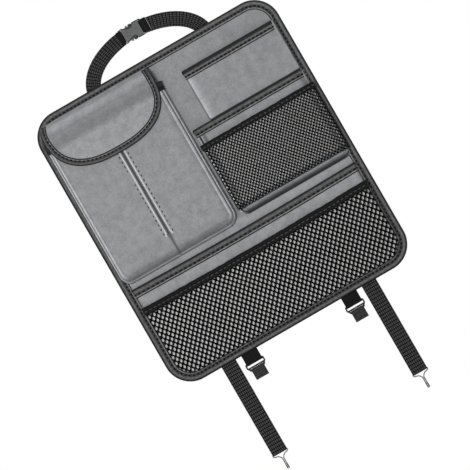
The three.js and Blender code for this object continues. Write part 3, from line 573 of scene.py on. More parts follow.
# Polypropylene webbing, woven: black with painted grey glints in rows. Two ribs of 2.8 mm and two rows of
# 1.5 mm are drawn as one, because the real ones are too fine for pixels of 1.5 mm.
WEBBING = woven("polypropylene_webbing_black", "#060607", "#656566", 5.55, 3.03)
# Ribbed elastic, woven over rubber strands: black, with weak cross ribs of 1.6 mm
ELASTIC = woven("ribbed_elastic_black", "#111112", "#303031", 1.6, 3.1)
# Polyester webbing, woven: the tabs' is close and black, and the tails' is coarser, and greyer as a painted
# highlight
TAB_WEBBING = woven("polyester_tab_webbing_black", "#171718", "#2a2a2b", 1.6, 1.6)
TAIL_WEBBING_HIGHLIT = woven("polyester_tail_webbing_painted_highlight", "#232324", "#626263", 3.5, 1.6)
# Hook-and-loop tape, woven with a pile: no sheen at all. Its hooks of 0.3 mm are drawn at 0.7 mm.
PILE = finish("hook_and_loop_tape_black", cloudy(0.8, ("#101011", "#2c2c2d")), cloudy(0.7), 1.0, 0.8, roughness=1.0)
# Polypropylene board, extruded: pale, even and a little glossy, with shallow waves of 2 mm
BOARD = finish("polypropylene_board_pale", cloudy(20.0, ("#d0d0cc", "#dededa")), cloudy(2.0), 0.1, 0.4, 0.45)
# The buckle's acetal is mid grey, painted darker behind its face as painted shade; its lines and bar are painted
# shade in matt black, so that they read as edges
BUCKLE = moulded("moulded_acetal_grey", "#5e5f60", "#6c6d6e", 0.6, 0.35, 6.2)
BUCKLE_PAINTED_SHADE = moulded("buckle_painted_shade_black", "#131314", "#1d1d1e", 0.8, 0.15)
SLIDER = moulded("moulded_nylon_black", "#131314", "#232324", 0.55, 0.2)
# Steel wire, drawn and nickel plated: bright, with soft streaks. The draw marks are drawn at 1 mm.
NICKEL = finish("nickel_plated_steel_wire", cloudy(4.0, ("#505050", "#7e7e7c")), cloudy(1.0), 0.08, 0.2, 0.3,
                metallic=1.0)
# The tapes' bands, from the folded edge in: painted shade at the edge, a painted highlight on the roll, painted
# shade in the seam's groove, then a painted highlight on the inner edge and a painted shadow beside it.
EDGE_TAPE = tape(
    "polyester_binding_tape_grey",
    (0.0, "#0c0c0d"), (0.05, "#1c1c1d"), (0.1, "#6c6c6d"), (0.15, "#8c8c8d"), (0.22, "#6a6a6b"), (0.25, "#4c4c4d"),
    (0.37, "#4c4c4d"), (0.39, "#a4a4a4"), (0.42, "#a4a4a4"), (0.435, "#121213"), (1.0, "#2a2a2b"),
)
FLAP_TAPE_FINISH = tape(
    "polyester_flap_tape_grey",
    (0.0, "#080809"), (0.07, "#0c0c0d"), (0.1, "#5c5c5d"), (0.15, "#767677"), (0.2, "#4c4c4d"), (0.24, "#484849"),
    (0.29, "#505051"), (0.31, "#9c9c9c"), (0.335, "#8c8c8c"), (0.355, "#161617"), (1.0, "#2a2a2b"),
)
MOUTH_TAPE = tape(
    "polyester_mouth_tape_grey",
    (0.0, "#101011"), (0.12, "#18181a"), (0.19, "#767677"), (0.27, "#7a7a7b"), (0.32, "#505051"), (0.37, "#4a4a4b"),
    (0.43, "#484849"), (0.455, "#b0b0b0"), (0.48, "#9a9a9a"), (0.5, "#121213"), (1.0, "#2a2a2b"),
)
CARD_TAPE = tape(
    "polyester_card_tape_grey",
    (0.0, "#101011"), (0.17, "#121213"), (0.23, "#4a4a4b"), (0.28, "#8e8e8f"), (0.32, "#7a7a7b"), (0.345, "#4a4a4b"),
    (0.43, "#484849"), (0.455, "#b0b0b0"), (0.485, "#9a9a9a"), (0.505, "#121213"), (1.0, "#2a2a2b"),
)
# A darker copy of the mouth tape: painted shade where it lies under the flap
MOUTH_TAPE_PAINTED_SHADE = tape("polyester_mouth_tape_painted_shade", (0.0, "#101011"), (0.25, "#3a3a3b"), (0.4, "#101011"))


def half_width(z):
    """Half the panel's width at a height, with its round corners."""
    over = np.clip(np.abs(z) - CORNER_Z, 0, PANEL_CORNER)
    return CORNER_X + np.sqrt(np.maximum(PANEL_CORNER**2 - over**2, 0))


def panel_places():
    """A grid of X and Z over the panel's cloth (X = u w(Z)), and how far each is from the panel's edge."""
    end = 230.2
    z = steps((-end, -180, 2.0), (-180, 180, 4.0), (180, end, 2.0))
    zz, uu = np.meshgrid(z, np.linspace(-1, 1, 120), indexing="ij")
    xx = uu * np.maximum(half_width(zz) - SHEET_INSET, 1)
    return xx, zz, np.minimum(half_width(zz) - np.abs(xx), PANEL_Z - np.abs(zz))


def front_sheet():
    """The front cloth, a little uneven away from its edge, and painted paler behind the lower pockets: painted
    light.
    """
    xx, zz, edge = panel_places()
    relief = 0.25 * ripples(xx, zz, 3, 45) * np.clip((edge - 14) / 12, 0, 1)
    painted_shading = 1 + 0.3 * np.clip((-46 - zz) / 6, 0, 1)
    return leather("front_panel_leatherette", "front_cover", points_at(xx, 6.0 + relief, zz), painted_shading, 1.4)


def back_sheet():
    """The back cloth: flat at the panel's back, with its rim set in under the tape."""
    xx, zz, edge = panel_places()
    out_x, out_z = np.abs(xx) - CORNER_X, np.abs(zz) - CORNER_Z
    edge = np.where((out_x > 0) & (out_z > 0), PANEL_CORNER - np.hypot(out_x, out_z), edge)
    front, back = points_at(xx, 2.0, zz), points_at(xx, 1.2 * np.clip((14.6 - edge) / 0.8, 0, 1), zz)
    _, faces, uv = shell(front, 1.0)
    mesh = mesh_from("back_cloth", np.concatenate([front, back[:, ::-1]], 1), faces, uv)
    return piece("back_cloth", mesh, BACK_CLOTH, ["back_cover"])


for made in (front_sheet(), back_sheet()):
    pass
dress("stiffener_board", BOARD)


def outline_path(inset):
    """The panel's outline set in by inset, with the direction in towards the middle."""
    quarter = np.linspace(0, np.pi / 2, 25)
    corners = []
    for sx, sz, start in ((1, -1, -np.pi / 2), (1, 1, 0), (-1, 1, np.pi / 2), (-1, -1, np.pi)):
        outward = points_at(np.cos(start + quarter), 0.0, np.sin(start + quarter))
        corners.append((np.array([sx * CORNER_X, 0, sz * CORNER_Z]) + (PANEL_CORNER - inset) * outward, -outward))
    path, into = [], []
    for k, (points, inward) in enumerate(corners):
        a, b = points[-1], corners[(k + 1) % 4][0][0]
        t = np.linspace(0, 1, int(np.linalg.norm(b - a) / OUTLINE_STEP) + 1)[1:-1, None]
        path += [points, a + (b - a) * t]
        into += [inward, np.repeat(inward[-1:], len(t), 0)]
    return np.concatenate(path), np.concatenate(into)


def edge_tape():
    """The panel's binding: a rear leg, a roll and a stitched front leg, carried round the outline."""
    path, into = outline_path(0.0)
    front = curve([(0, 4), (0.1, 6.4), (1.0, 8.0), (3.0, 8.7), (5.6, 8.3), (7.2, 7.4), (9.0, 7.0),
                   (11.4, 7.25), (13.6, 7.3), (14.5, 6.7)], 28)
    rear = [(13.5, 6.32), (0.95, 6.32), (0.95, 0.92), (13.5, 0.92), (13.5, 0.02), (1.4, 0.0), (0.2, 1.2)]
    grid = carried(path, into, FRONT, np.concatenate([front, rear]))
    s = length_along(path)
    roll, seam_line = slice(2, 10), slice(11, 19)  # the section's points there
    grid[:, roll, 1] += 0.22 * ripples(s, s * 0, 5, 40, 8)[:, None]
    grid[:, seam_line, 1] += 0.16 * np.sin(2 * np.pi * s / EDGE_STITCH[0])[:, None]
    piece("edge_tape", bar(grid, True, -4.0), EDGE_TAPE, ["edge_binding"])
    seam, _ = outline_path(9.2)
    seam[:, 1] = 7.05
    piece("edge_tape_stitches", stitches(seam, FRONT, *EDGE_STITCH), THREAD)


edge_tape()

# Profiles are rows of (inset, height, painted shading): the last paints the folds' ridges paler and their creases
# and feet darker, painted highlight and painted shade.
TISSUE_SIDE = [
    (0, 0, 0.8), (-4.6, 3, 0.9), (-6.8, 8, 1.0), (-6.9, 13, 1.3), (-6.3, 17, 1.6), (-5.4, 19.8, 2.1),
    (-4.4, 20.8, 2.1), (-3.4, 20.3, 0.5), (-2.7, 21.1, 0.5), (-2.2, 23.2, 1.4), (-1.4, 25.8, 1.9),
    (0.2, 27.6, 1.9), (2.0, 27.6, 1.7), (3.2, 26.8, 0.85), (4.6, 26.3, 0.85), (8, 26.7, 1.0),
]
TISSUE_LOW = [
    (0, 0, 0.8), (-4.6, 3, 0.85), (-7.0, 7, 1.2), (-6.4, 10.5, 1.3), (-5.2, 12.2, 2.3), (-4.4, 14, 2.2),
    (-3.2, 18, 1.0), (-1.0, 21.5, 0.88), (1.6, 24, 0.9), (4.4, 25.6, 0.95), (6.4, 26.4, 1.0), (8, 26.7, 1.0),
]
tissue_wrap = Wrap(TISSUE, FOOT, TISSUE_SIDE, TISSUE_LOW)


def tissue_face(side):
    """Half of the tissue pocket's cloth, from its sewn foot to the slit's edge, with its painted shading."""
    inner = TISSUE.bottom + 14
    q = steps((tissue_wrap.bottom, inner, EDGE_STEP), (inner, TISSUE.top, FACE_STEP))
    far = tissue_wrap.left if side < 0 else tissue_wrap.right
    turn = far - side * (tissue_wrap.extra + 14)
    near = SLIT_X + side * 12
    p = steps((far, turn, EDGE_STEP), (turn, near, FACE_STEP), (near, SLIT_X + side * 0.01, 0.6))
    qq, pp = np.meshgrid(q, p, indexing="ij")
    rounded = np.clip((qq - SLIT_BOTTOM) / 3, 0, 1) * np.clip((SLIT_TOP - qq) / 3, 0, 1)
    half = 0.12 + 0.25 * np.sqrt(rounded)
    fade = np.exp(-np.abs(pp - SLIT_X) / 6)
    grid, painted_shading = tissue_wrap.place(pp + side * half * fade, qq)

    # Slow ripples, the slit's lips turned in, and the groove of the seam below the slit
    x, z = grid[..., 0], grid[..., 2]
    from_seam = np.abs(x - SLIT_X)
    below = np.clip((SLIT_BOTTOM - 1 - z) / 4, 0, 1)
    relief = 0.35 * ripples(x, z, 11, 60) - 1.6 * below * np.exp(-((from_seam / 1.7) ** 2))
    relief -= 2.2 * (1 - below) * np.clip((3.6 - from_seam) / 3.2, 0, 1)
    relief += 0.5 * np.exp(-((from_seam - 6) / 4) ** 2) * below
    grid[..., 1] += relief * np.clip((grid[..., 1] - 24) / 6, 0, 1)

    # Painted shade: the seam and the lips are darker, and so is the face near its lower edge
    seam = 1 - 0.5 * below * np.exp(-((from_seam / 1.2) ** 2))
    painted_lip_shade = 1 - (1 - below) * np.clip(4.4 - from_seam, 0, 1) * (0.3 + 0.35 * np.exp(-((from_seam / 0.8) ** 2)))
    painted_shading = painted_shading * seam * painted_lip_shade * (1 - 0.1 * np.clip((-28 - z) / 14, 0, 1))
    # A painted highlight along the left edge, where the cloth is also drawn out
    if side < 0:
        inset = x - TISSUE.left
        painted_shading = painted_shading * (1 + 0.22 * np.clip((9 - inset) / 5, 0, 1))
        grid[..., 0] -= (1.35 + 0.28 * inset) * np.clip((14 - inset) / 8, 0, 1)
    return grid, painted_shading


for side, word in SIDES:
    leather(f"tissue_pocket_{word}_half", "tissue_pocket", *tissue_face(side))
    z = steps((SLIT_BOTTOM - 1.5, SLIT_BOTTOM + 6, EDGE_STEP), (SLIT_BOTTOM + 6, SLIT_TOP, FACE_STEP))
    edge = SLIT_X + side * (SLIT_GAP / 2 + 1.3 + 1.2 * np.exp(-((z - SLIT_BOTTOM) / 2.5) ** 2))
    path = points_at(edge, SLIT_DEPTH + 0.15 * ripples(z, z * 0, 7 + side, 30), z)
    roll = curve([(-1.4, 0.2), (-0.9, 1.1), (0.2, 1.4), (1.2, 1.0), (1.5, 0.2), (1.3, -1.2), (0, -1.9),
                  (-1.2, -1.2)], 20, True)
    piping = bar(carried(path, side * RIGHT, FRONT, roll))
    piece(f"slit_piping_{word}_roll", piping, PIPING, [f"slit_piping_{word}"])
    seam = points_at(SLIT_X + side * 7.6, SLIT_DEPTH, np.linspace(SLIT_BOTTOM, SLIT_TOP, 60))
    piece(f"slit_stitches_{word}", stitches(seam, FRONT, *SLIT_STITCH), THREAD)

# The fall of the flap seen from the side, as (Z, depth)
FALL = curve([(219.5, 7.4), (217.0, 14), (213.6, 25), (209.0, 34.8), (203.0, 40.0), (195.0, 41.0), (186.0, 39.6),
              (176.0, 37.6), (166.0, 37.4), (154.0, 38.3), (140.0, 38.8), (126.0, 38.4)], 400)
FALL_AT = np.linspace(0, length_along(FALL)[-1], len(FALL))
# The flap's painted shading at falling heights, as (Z, painted shading): a painted highlight over its bend, and
# painted shade just below it
FLAP_PAINTED_SHADING = np.array([(219, 2.3), (211, 2.3), (206, 1.7), (199, 0.78), (188, 0.74), (181, 0.8), (172, 1.14),
                      (160, 1.16)])


def flap_edge(share, inset):
    """The height of the flap's full round edge at a share of its half width, set in by inset."""
    return FLAP_CURVE_TOP - (FLAP_DROP - inset) * (1 - np.abs(share) ** FLAP_FULLNESS) ** (1 / FLAP_FULLNESS)


def on_flap(x, z):
    """Points of the flap, with slow waves, and drawn in at its top left, where the panel's corner is."""
    x = x + 4.0 * np.clip((z - 196) / 22, 0, 1)**1.4 * np.clip((FLAP_X - x) / FLAP_HALF, 0, 1)
    depth = np.interp(-z, -FALL[:, 0], FALL[:, 1])
    return points_at(x, depth + 0.35 * ripples(x, z, 21, 70) * np.clip((212 - z) / 30, 0, 1), z)


def flap_sheet():
    """The flap: places go down the fall by length, and across to a full round edge."""
    share = np.sin(np.linspace(-np.pi / 2, np.pi / 2, 90))
    length = np.interp(-flap_edge(share, SHEET_INSET), -FALL[:, 0], FALL_AT)
    s = np.linspace(0, 1, 70)[:, None] * length[None]
    z = np.interp(s, FALL_AT, FALL[:, 0])
    grid = on_flap(FLAP_X + (FLAP_HALF - SHEET_INSET) * share[None] * np.ones_like(z), z)
    painted_shading = np.interp(-z, -FLAP_PAINTED_SHADING[:, 0], FLAP_PAINTED_SHADING[:, 1])
    made = leather("flap_leatherette", "tissue_flap", grid, painted_shading)


def flap_line(inset):
    """The flap's free edge set in by inset, from the top left round to the top right."""
    share = np.sin(np.linspace(-np.pi / 2, np.pi / 2, 160))
    x = FLAP_X + (FLAP_HALF - inset) * share
    up = np.linspace(217.5, FLAP_CURVE_TOP, 14)[:-1]
    x = np.concatenate([np.full(13, x[0]), x, np.full(13, x[-1])])
    return curve(on_flap(x, np.concatenate([up, flap_edge(share, inset), up[::-1]])), 260)


def flap_tape():
    """The tape round the flap: a section carried round the edge, between two lines on the flap."""
    outer = flap_line(0.0)
    into = unit(flap_line(FLAP_TAPE) - outer)
    out = unit(np.cross(heading(outer), into))
    out *= np.sign(out[len(out) // 2, 1])
    front = curve([(0, 0), (0.5, 1.3), (2.4, 2.0), (4.4, 1.6), (5.6, 1.0), (7.2, 1.1), (9.4, 1.3), (10.6, 1.25),
                   (11.0, 0.75)], 22)
    rear = [(11.0, -1.9), (10.0, -2.2), (1.0, -2.2), (0.2, -1.4)]
    grid = carried(outer, into, out, np.concatenate([front, rear]))
    piece("flap_tape", bar(grid), FLAP_TAPE_FINISH, ["flap_binding"])
    seam = flap_line(6.6) + out * 0.9
    piece("flap_tape_stitches", stitches(seam, out, *FLAP_STITCH), THREAD)


flap_sheet()
flap_tape()


def mouth_tape(name, wrap, top, width, sag, node, finish_, pitch):
    """Tape over a pocket's mouth: a section rolled in front and stitched below, carried from foot to foot."""
    line, out, _ = wrap.mouth(top - 6, top, sag)
    front = curve([(0, 0), (0.5, 1.4), (2.6, 2.3), (5.0, 2.0), (7.0, 1.3), (8.6, 1.0), (11, 1.15),
                   (width - 0.9, 1.2), (width, 0.5)], 24)
    rear = [(width, 0.1), (1.6, 0.1), (1.3, -1.4), (width, -1.45), (width - 0.5, -2.3), (0.9, -2.3), (0.2, -0.8)]
    grid = carried(line, -UP, out, np.concatenate([front, rear]))
    grid[..., 1] = np.maximum(grid[..., 1], FOOT)
    points, faces, uv = bar(grid)
    uv[:, 1] *= TAPE_WIDTH / width
    piece(name, (points, faces, uv), finish_, [node])
    seam = line - UP * (0.66 * width) + out * 1.0
    keep = seam[:, 1] > FOOT + 3
    sewn = stitches(seam[keep], out[keep], pitch, *MOUTH_STITCH)
    piece(f"{name}_stitches", sewn, THREAD)


def pocket(name, wrap, node, swell, seed, sag=0.0, lined=None, painted_highlight=0.0, draw=0.0):
    """A pocket's cloth wall over its wrap, with slow ripples in its face.

    Between the heights in lined, behind a net, its front is in the pale lining. painted_highlight is how much
    paler the face is painted along its left edge, and draw how far its right edge is pulled to the binding;
    there the painted shading is set plain beside a painted highlight, and to a painted shade of 0.6 at the foot
    otherwise.
    """
    b = wrap.bounds
    q = steps((wrap.bottom, wrap.bottom + wrap.turn, EDGE_STEP), (wrap.bottom + wrap.turn, b.top, FACE_STEP))
    p = wrap.across(FACE_STEP)
    qq, pp = np.meshgrid(q, p, indexing="ij")
    grid, painted_shading = wrap.place(pp, qq)
    face = np.clip((grid[..., 1] - wrap.foot - 0.6 * wrap.side[-1, 1]) / (0.4 * wrap.side[-1, 1]), 0, 1)
    grid[..., 1] += face * swell * ripples(grid[..., 0], grid[..., 2], seed, 55)
    grid[..., 2] -= hang(pp, p[0], p[-1], sag) * np.clip((qq - (b.top - 30)) / 30, 0, 1)
    # Painted highlight along the left edge
    painted_shading = painted_shading + painted_highlight * np.exp(-np.abs(grid[..., 0] - b.left - 1) / 5)
    if draw:
        inset = b.right - grid[..., 0]
        # Near the right edge: painted shading made plain beside a painted highlight, or a painted shade of 0.6 at
        # the foot
        painted_shading = np.where(inset < 9 if painted_highlight else inset < -1.5, 1.0 if painted_highlight else 0.6, painted_shading)
        grid[..., 0] += draw * np.interp(inset, [-4.4, -1.0, 1.4, 4.0, 10.0], [0.0, 0.6, 1.0, 0.8, 0.0])
    pale = (qq > lined[0]) & (qq < lined[1]) if lined else None
    leather(name, node, grid, painted_shading, pale_front=pale)


# Profiles are rows of (inset, height, painted shading): the last paints ridges paler and creases and feet darker,
# painted highlight and painted shade.
CARD_SIDE = [(-1.6, 0, 0.12), (-1.0, 0.9, 0.12), (-0.6, 3, 0.3), (-0.2, 5.5, 1.0), (0.6, 7.2, 1.1), (1.8, 8.0, 1.1),
             (3.0, 7.8, 1.0)]
CARD_MOUTH = [(-0.6, 0, 1), (-0.6, 3, 1), (0.6, 7.2, 1), (3.0, 7.8, 1)]
BELLOWS_SIDE = [
    (0, 0, 0.7), (-3.0, 1.0, 1.2), (-4.4, 2.6, 2.8), (-3.4, 3.8, 2.6), (-1.8, 4.2, 0.2), (-0.4, 4.9, 0.12),
    (0.5, 6.2, 1.2), (1.4, 7.3, 1.8), (2.6, 7.5, 0.75), (4.5, 7.9, 0.66), (7, 8.9, 0.75), (9, 10, 1.05),
]
BELLOWS_LOW = [
    (0, 0, 0.5), (-2.5, 1.0, 0.2), (-4.0, 2.5, 0.2), (-3.0, 3.8, 0.14), (-0.5, 5.5, 0.14), (2.5, 7.4, 0.55),
    (5, 8.8, 1.1), (7, 9.6, 1.25), (9, 10, 1.1),
]
WIDE_SIDE = [(0, 0, 0.6), (-0.6, 2.6, 0.7), (-0.2, 5.6, 1.0), (1.2, 8.0, 1.2), (3.2, 9.2, 1.15), (5.0, 9.0, 1.12)]
card_wrap = Wrap(CARD, FOOT, CARD_SIDE)
card_mouth = Wrap(CARD._replace(right=190.6), FOOT, CARD_MOUTH)
bellows_wrap = Wrap(BELLOWS, FOOT, BELLOWS_SIDE, BELLOWS_LOW)
bellows_mouth = Wrap(BELLOWS, FOOT, BELLOWS_SIDE)
wide_wrap = Wrap(WIDE, FOOT, WIDE_SIDE)

mouth_tape("tissue_mouth_tape", tissue_wrap, 190, 15.0, 0.0, "tissue_pocket_binding", MOUTH_TAPE_PAINTED_SHADE, 6.5)
pocket("card_pocket_leatherette", card_wrap, "card_pocket", 0.3, 31, painted_highlight=1.15, draw=2.6)
mouth_tape("card_mouth_tape", card_mouth, 185.6, 15.2, 0.0, "card_pocket_binding", CARD_TAPE, 7.0)
pocket("bellows_pocket_leatherette", bellows_wrap, "bellows_pocket", 0.25, 41, lined=(-32, 70), draw=3.0)
mouth_tape("bellows_mouth_tape", bellows_mouth, 99.8, 13.4, 0.0, "bellows_pocket_binding", MOUTH_TAPE, 8.0)
pocket("wide_pocket_leatherette", wide_wrap, "wide_pocket", 0.35, 51, sag=2.5, lined=(-240, -101))
mouth_tape("wide_mouth_tape", wide_wrap, -63, 15.0, 2.6, "wide_pocket_binding", MOUTH_TAPE, 8.0)


def net(name, wrap, top, sag, pitch_x, pitch_z, thread_width, node):
    """A knotted net: diamond cells in a staggered lattice, each a low round frame about its hole.

    A cell is a diamond of half sizes (pitch_x / 2, pitch_z / 2). Its ring goes from the thread's
    middle line, over the thread's side, to the hole's edge, and back under to the middle line.
    """
    b, e = wrap.bounds, wrap.extra
    columns = int((b.right - b.left + 2 * e) / pitch_x)
    rows = int((top - b.bottom + e) / (pitch_z / 2))
    px = (b.right - b.left + 2 * e) / columns
    hz = (top - b.bottom + e) / rows
    centres = []
    for row in range(1, rows):
        shift, count = (0.5, columns) if row % 2 else (1.0, columns - 1)
        centres.append(points_at(wrap.left + px * (np.arange(count) + shift), wrap.bottom + hz * row))
    centres = np.concatenate(centres)
    turn = np.arange(8) * np.pi / 4
    between = np.arange(8) % 2  # the ring's points between its knots
    corner = np.array([(1, 0), (0.5, 0.5), (0, 1), (-0.5, 0.5), (-1, 0), (-0.5, -0.5), (0, -1), (0.5, -0.5)])
    middle = corner * [px / 2, hz]
    hole = points_at(np.cos(turn) * (px / 2 - thread_width * 0.95), np.sin(turn) * (hz - thread_width * 0.86))
    hole *= np.where(between, 0.93, 1.0)[:, None]
    knot = np.where(between, 0.55, 0.8)
    rings, heights = zip(
        (middle, knot), (middle * 0.62 + hole * 0.38, knot * 0.8), (hole, np.zeros(8)),
        (middle * 0.6 + hole * 0.4, -knot * 0.5), (middle, -knot * 0.55),
    )
    flat = centres[:, None, None] + np.stack(rings)
    p, q = flat[..., 0], flat[..., 1]
    points, _ = wrap.place(p, q)
    points[..., 2] -= hang(p, b.left, b.right, sag) * np.clip((q - (top - 40)) / 40, 0, 1)
    points[..., 1] += np.stack(heights) * thread_width * 0.75 + 0.3 * ripples(p, q, 61, 40)
    edge = np.minimum(np.minimum(p - wrap.left, wrap.right - p), q - wrap.bottom)
    inside = (edge > -0.1) & (np.hypot(*wrap.out_of_corners(p, q)) < wrap.turn + 0.2)
    points = points[inside.all((1, 2))]
    quads, _ = grid_faces(*p.shape[1:], join_columns=True)
    faces = (quads[None] + (np.arange(len(points)) * p[0].size)[:, None, None]).reshape(-1, 4)
    mesh = mesh_from(name, points, [faces], sharp=180)
    reformed(mesh, weld=2e-5)
    piece(name, mesh, NET, [node])


def elastic_band(name, wrap, top, width, sag, node):
    """Elastic folded over a net's mouth, from foot to foot, a little scalloped by its pull."""
    line, out, p = wrap.mouth(top - 4, top, sag)
    line[:, 2] += 0.3 * ripples(p, p * 0, 71, 16, 8)
    front = curve([(0, 0), (0.4, 1.2), (1.6, 1.7), (width * 0.3, 1.3), (width * 0.55, 1.6), (width * 0.8, 1.3),
                   (width - 0.5, 1.4), (width, 0.6)], 22)
    rear = [(width, -1.8), (width - 0.6, -2.4), (0.8, -2.4), (0.2, -1.2)]
    grid = carried(line, -UP, out, np.concatenate([front, rear]))
    piece(name, bar(grid), ELASTIC, [node])
    seam = line - UP * (0.58 * width) + out * 1.5
    piece(f"{name}_stitches", stitches(seam, out, *ELASTIC_STITCH), GREY_THREAD)


UPPER_SIDE = [(0, 0, 1), (-0.4, 4, 1), (-0.4, 9, 1), (0.2, 13, 1), (1.4, 15, 1), (3.0, 15.4, 1)]
LOWER_SIDE = [(0, 0, 1), (-0.4, 4, 1), (-0.3, 9, 1), (0.3, 13, 1), (1.5, 15, 1), (3.0, 15.3, 1)]
upper_wrap = Wrap(UPPER_NET, UPPER_NET_FOOT, UPPER_SIDE)
lower_wrap = Wrap(LOWER_NET, LOWER_NET_FOOT, LOWER_SIDE)
net("upper_net", upper_wrap, 70, 0.0, 5.55, 6.56, 1.52, "mesh_pocket_upper")
net("lower_net", lower_wrap, -100, 2.5, 8.32, 9.83, 2.33, "mesh_pocket_lower")
elastic_band("upper_elastic", upper_wrap, 74, 9.5, 0.0, "mesh_band_upper")
elastic_band("lower_elastic", lower_wrap, -94.6, 12.5, 2.6, "mesh_band_lower")


def arch(side):
    """Half of the arched strap, along the ellipse in its middle, as far as the buckle's bar."""
    end_x = BAR_LEFT if side < 0 else BAR_RIGHT
    mid_half, mid_high = ARCH_HALF - STRAP_WIDTH / 2, ARCH_HEIGHT - STRAP_WIDTH / 2
    start = math.asin((222.5 - ARCH_Z) / mid_high)
    turn = np.linspace(start, math.acos(abs(end_x - ARCH_X) / mid_half), 110)
    path = points_at(ARCH_X + side * mid_half * np.cos(turn), STRAP_DEPTH, ARCH_Z + mid_high * np.sin(turn))
    across = np.cross(FRONT, heading(path))
    s = np.linspace(0, 1, 110)
    path[:, 1] += 0.5 * np.sin(np.pi * s)
    narrow = 1 - 0.02 * np.clip((s - 0.9) / 0.1, 0, 1)
    return webbing(path, across * narrow[:, None], FRONT, STRAP_WIDTH / 2, 1.5, 0.1, 2.8)


def arch_fold(side):
    """The strap's end folded round the buckle's bar: out in front, round the bar and back behind."""
    end_x, tail, bulge = (BAR_LEFT, 5.0, 3.0) if side < 0 else (BAR_RIGHT, 9.0, 3.2)
    reach = 2.4
    bend = np.linspace(np.pi / 2, -np.pi / 2, 17)
    loop = np.concatenate([
        points_at(np.linspace(tail, 0, 8), reach)[:-1],
        points_at(-bulge * np.cos(bend), reach * np.sin(bend)),
        points_at(np.linspace(0, tail, 8), -reach)[1:],
    ])
    loop[:, 1] *= np.interp(loop[:, 0], [0, tail], [1, 0.45])
    path = points_at(end_x + side * loop[:, 0], STRAP_DEPTH + loop[:, 1], BUCKLE_Z)
    return webbing(path, UP, np.cross(heading(path), UP), 10.6, 1.3)


for side, word in SIDES:
    name, node = f"handle_webbing_{word}", f"handle_strap_{word}"
    piece(name, arch(side), WEBBING, [node])
    piece(f"{name}_fold", arch_fold(side), TAB_WEBBING, [node])
seam = points_at(BAR_RIGHT + 9.3, STRAP_DEPTH + 1.6, np.linspace(-10, 10, 20) + BUCKLE_Z - 1)
piece("handle_seam", stitches(seam, FRONT, *HANDLE_STITCH), SEAM_THREAD)


def moulded_line(name, points, half, depth, height, finish_=BUCKLE_PAINTED_SHADE):
    """A raised line on the buckle, in the black of painted shade unless given a finish: an oval bar along a smooth
    path of (X, height over the middle).
    """
    flat = curve(points, 40)
    path = points_at(flat[:, 0], depth, BUCKLE_Z + flat[:, 1])
    turn = np.linspace(0, 2 * np.pi, 12, endpoint=False)
    section = points_at(half * np.cos(turn), height * np.sin(turn))
    piece(name, bar(carried(path, np.cross(FRONT, heading(path)), FRONT, section)), finish_)


# Dark lines of painted shadow in the catches' gaps and along the rims' edges
for sign, word in ((1, "upper"), (-1, "lower")):
    catch = [(-11.8, 11.9 * sign), (-5.5, 9.3 * sign), (0, 7.2 * sign), (4, 7.4 * sign), (5.8, 10.8 * sign)]
    rim = [(7.4, 12.2 * sign), (14, 12.2 * sign), (20.8, 11.8 * sign)]
    moulded_line(f"buckle_catch_shadow_{word}", catch, 0.65, 7.2, 0.5)
    moulded_line(f"buckle_rim_shadow_{word}", rim, 0.7, 6.9, 0.8)
# A dark bar of painted shade over the housing's strap bar
moulded_line("buckle_bar_shade", [(22.6, -10.8), (22.6, 10.8)], 3.2, 6.0, 1.1)
moulded_line("buckle_web", [(-5.0, -7.2), (-5.0, 7.2)], 2.0, 6.2, 0.6, BUCKLE)
dress("buckle_housing", BUCKLE)
dress("buckle_plug", BUCKLE)


def hanging_fold(x, pivot, way, half, bore, thick, doubled, single=None):
    """Webbing folded round a bar: down in front, round the bar and up behind, as one band.

    way is -1 where it hangs below the bar. It is double as far as the length doubled from the bar,
    and goes on as one layer as far as the length single.
    """
    radius, gap = bore + thick / 2, thick / 2 + 0.05
    front = points_at(np.linspace(doubled, 1.0, 30), gap)
    blend = np.clip((front[:, 0] - 1.0) / 5.0, 0, 1)
    front[:, 1] = radius + (front[:, 1] - radius) * blend * blend * (3 - 2 * blend)
    back = points_at(np.linspace(1.0, doubled, 30), -front[::-1, 1])
    turn = np.linspace(0, np.pi, 17)
    line = np.concatenate([front, points_at(-radius * np.sin(turn), radius * np.cos(turn)), back])
    if single is not None:
        line = np.concatenate([points_at(np.linspace(single, doubled, 60)[:-1], gap), line])
    line = curve(line, max(int(length_along(line)[-1] / 0.9), 40))
    path = points_at(x, STRAP_DEPTH + line[:, 1], pivot + way * line[:, 0])
    return webbing(path, RIGHT, np.cross(heading(path), RIGHT), half, thick, 0.11, 2.77)


for side, word in SIDES:
    x = side * LONG_X
    strap = hanging_fold(x, HOOK_Z, 1, half=12.4, bore=1.25, thick=1.3, doubled=18.0, single=LONG_LENGTH)
    piece(f"long_webbing_{word}", strap, WEBBING, [f"long_strap_{word}"])
    x = side * TAB_X
    tab = hanging_fold(x, SLIDER_Z, 1, half=13.5, bore=1.6, thick=1.0, doubled=24.0)
    piece(f"tab_webbing_{word}", tab, TAB_WEBBING, [f"slider_tab_{word}"])
    tail = hanging_fold(x, TAIL_Z, -1, half=10.8, bore=1.6, thick=1.0, doubled=16.2)
    piece(f"tail_webbing_{word}", tail, TAIL_WEBBING_HIGHLIT, [f"slider_tail_{word}"], f"tail_{word}")
    dress(f"wire_hook_{word}", NICKEL)
    dress(f"slider_{word}", SLIDER)

# The hook-and-loop pair: blocks with a rough pile, 40 by 18 mm
zz, xx = np.meshgrid(np.linspace(148, 166, 20), np.linspace(-20, 20, 41) + SLIT_X, indexing="ij")
for name, depth, node in (("loop_patch", 34.25, "pocket_loop_patch"), ("hook_patch", 35.5, "flap_hook_patch")):
    grid = points_at(xx, depth + 0.12 * ripples(xx, zz, 81, 3), zz)
    piece(name, shell(grid, 0.9), PILE, [node])

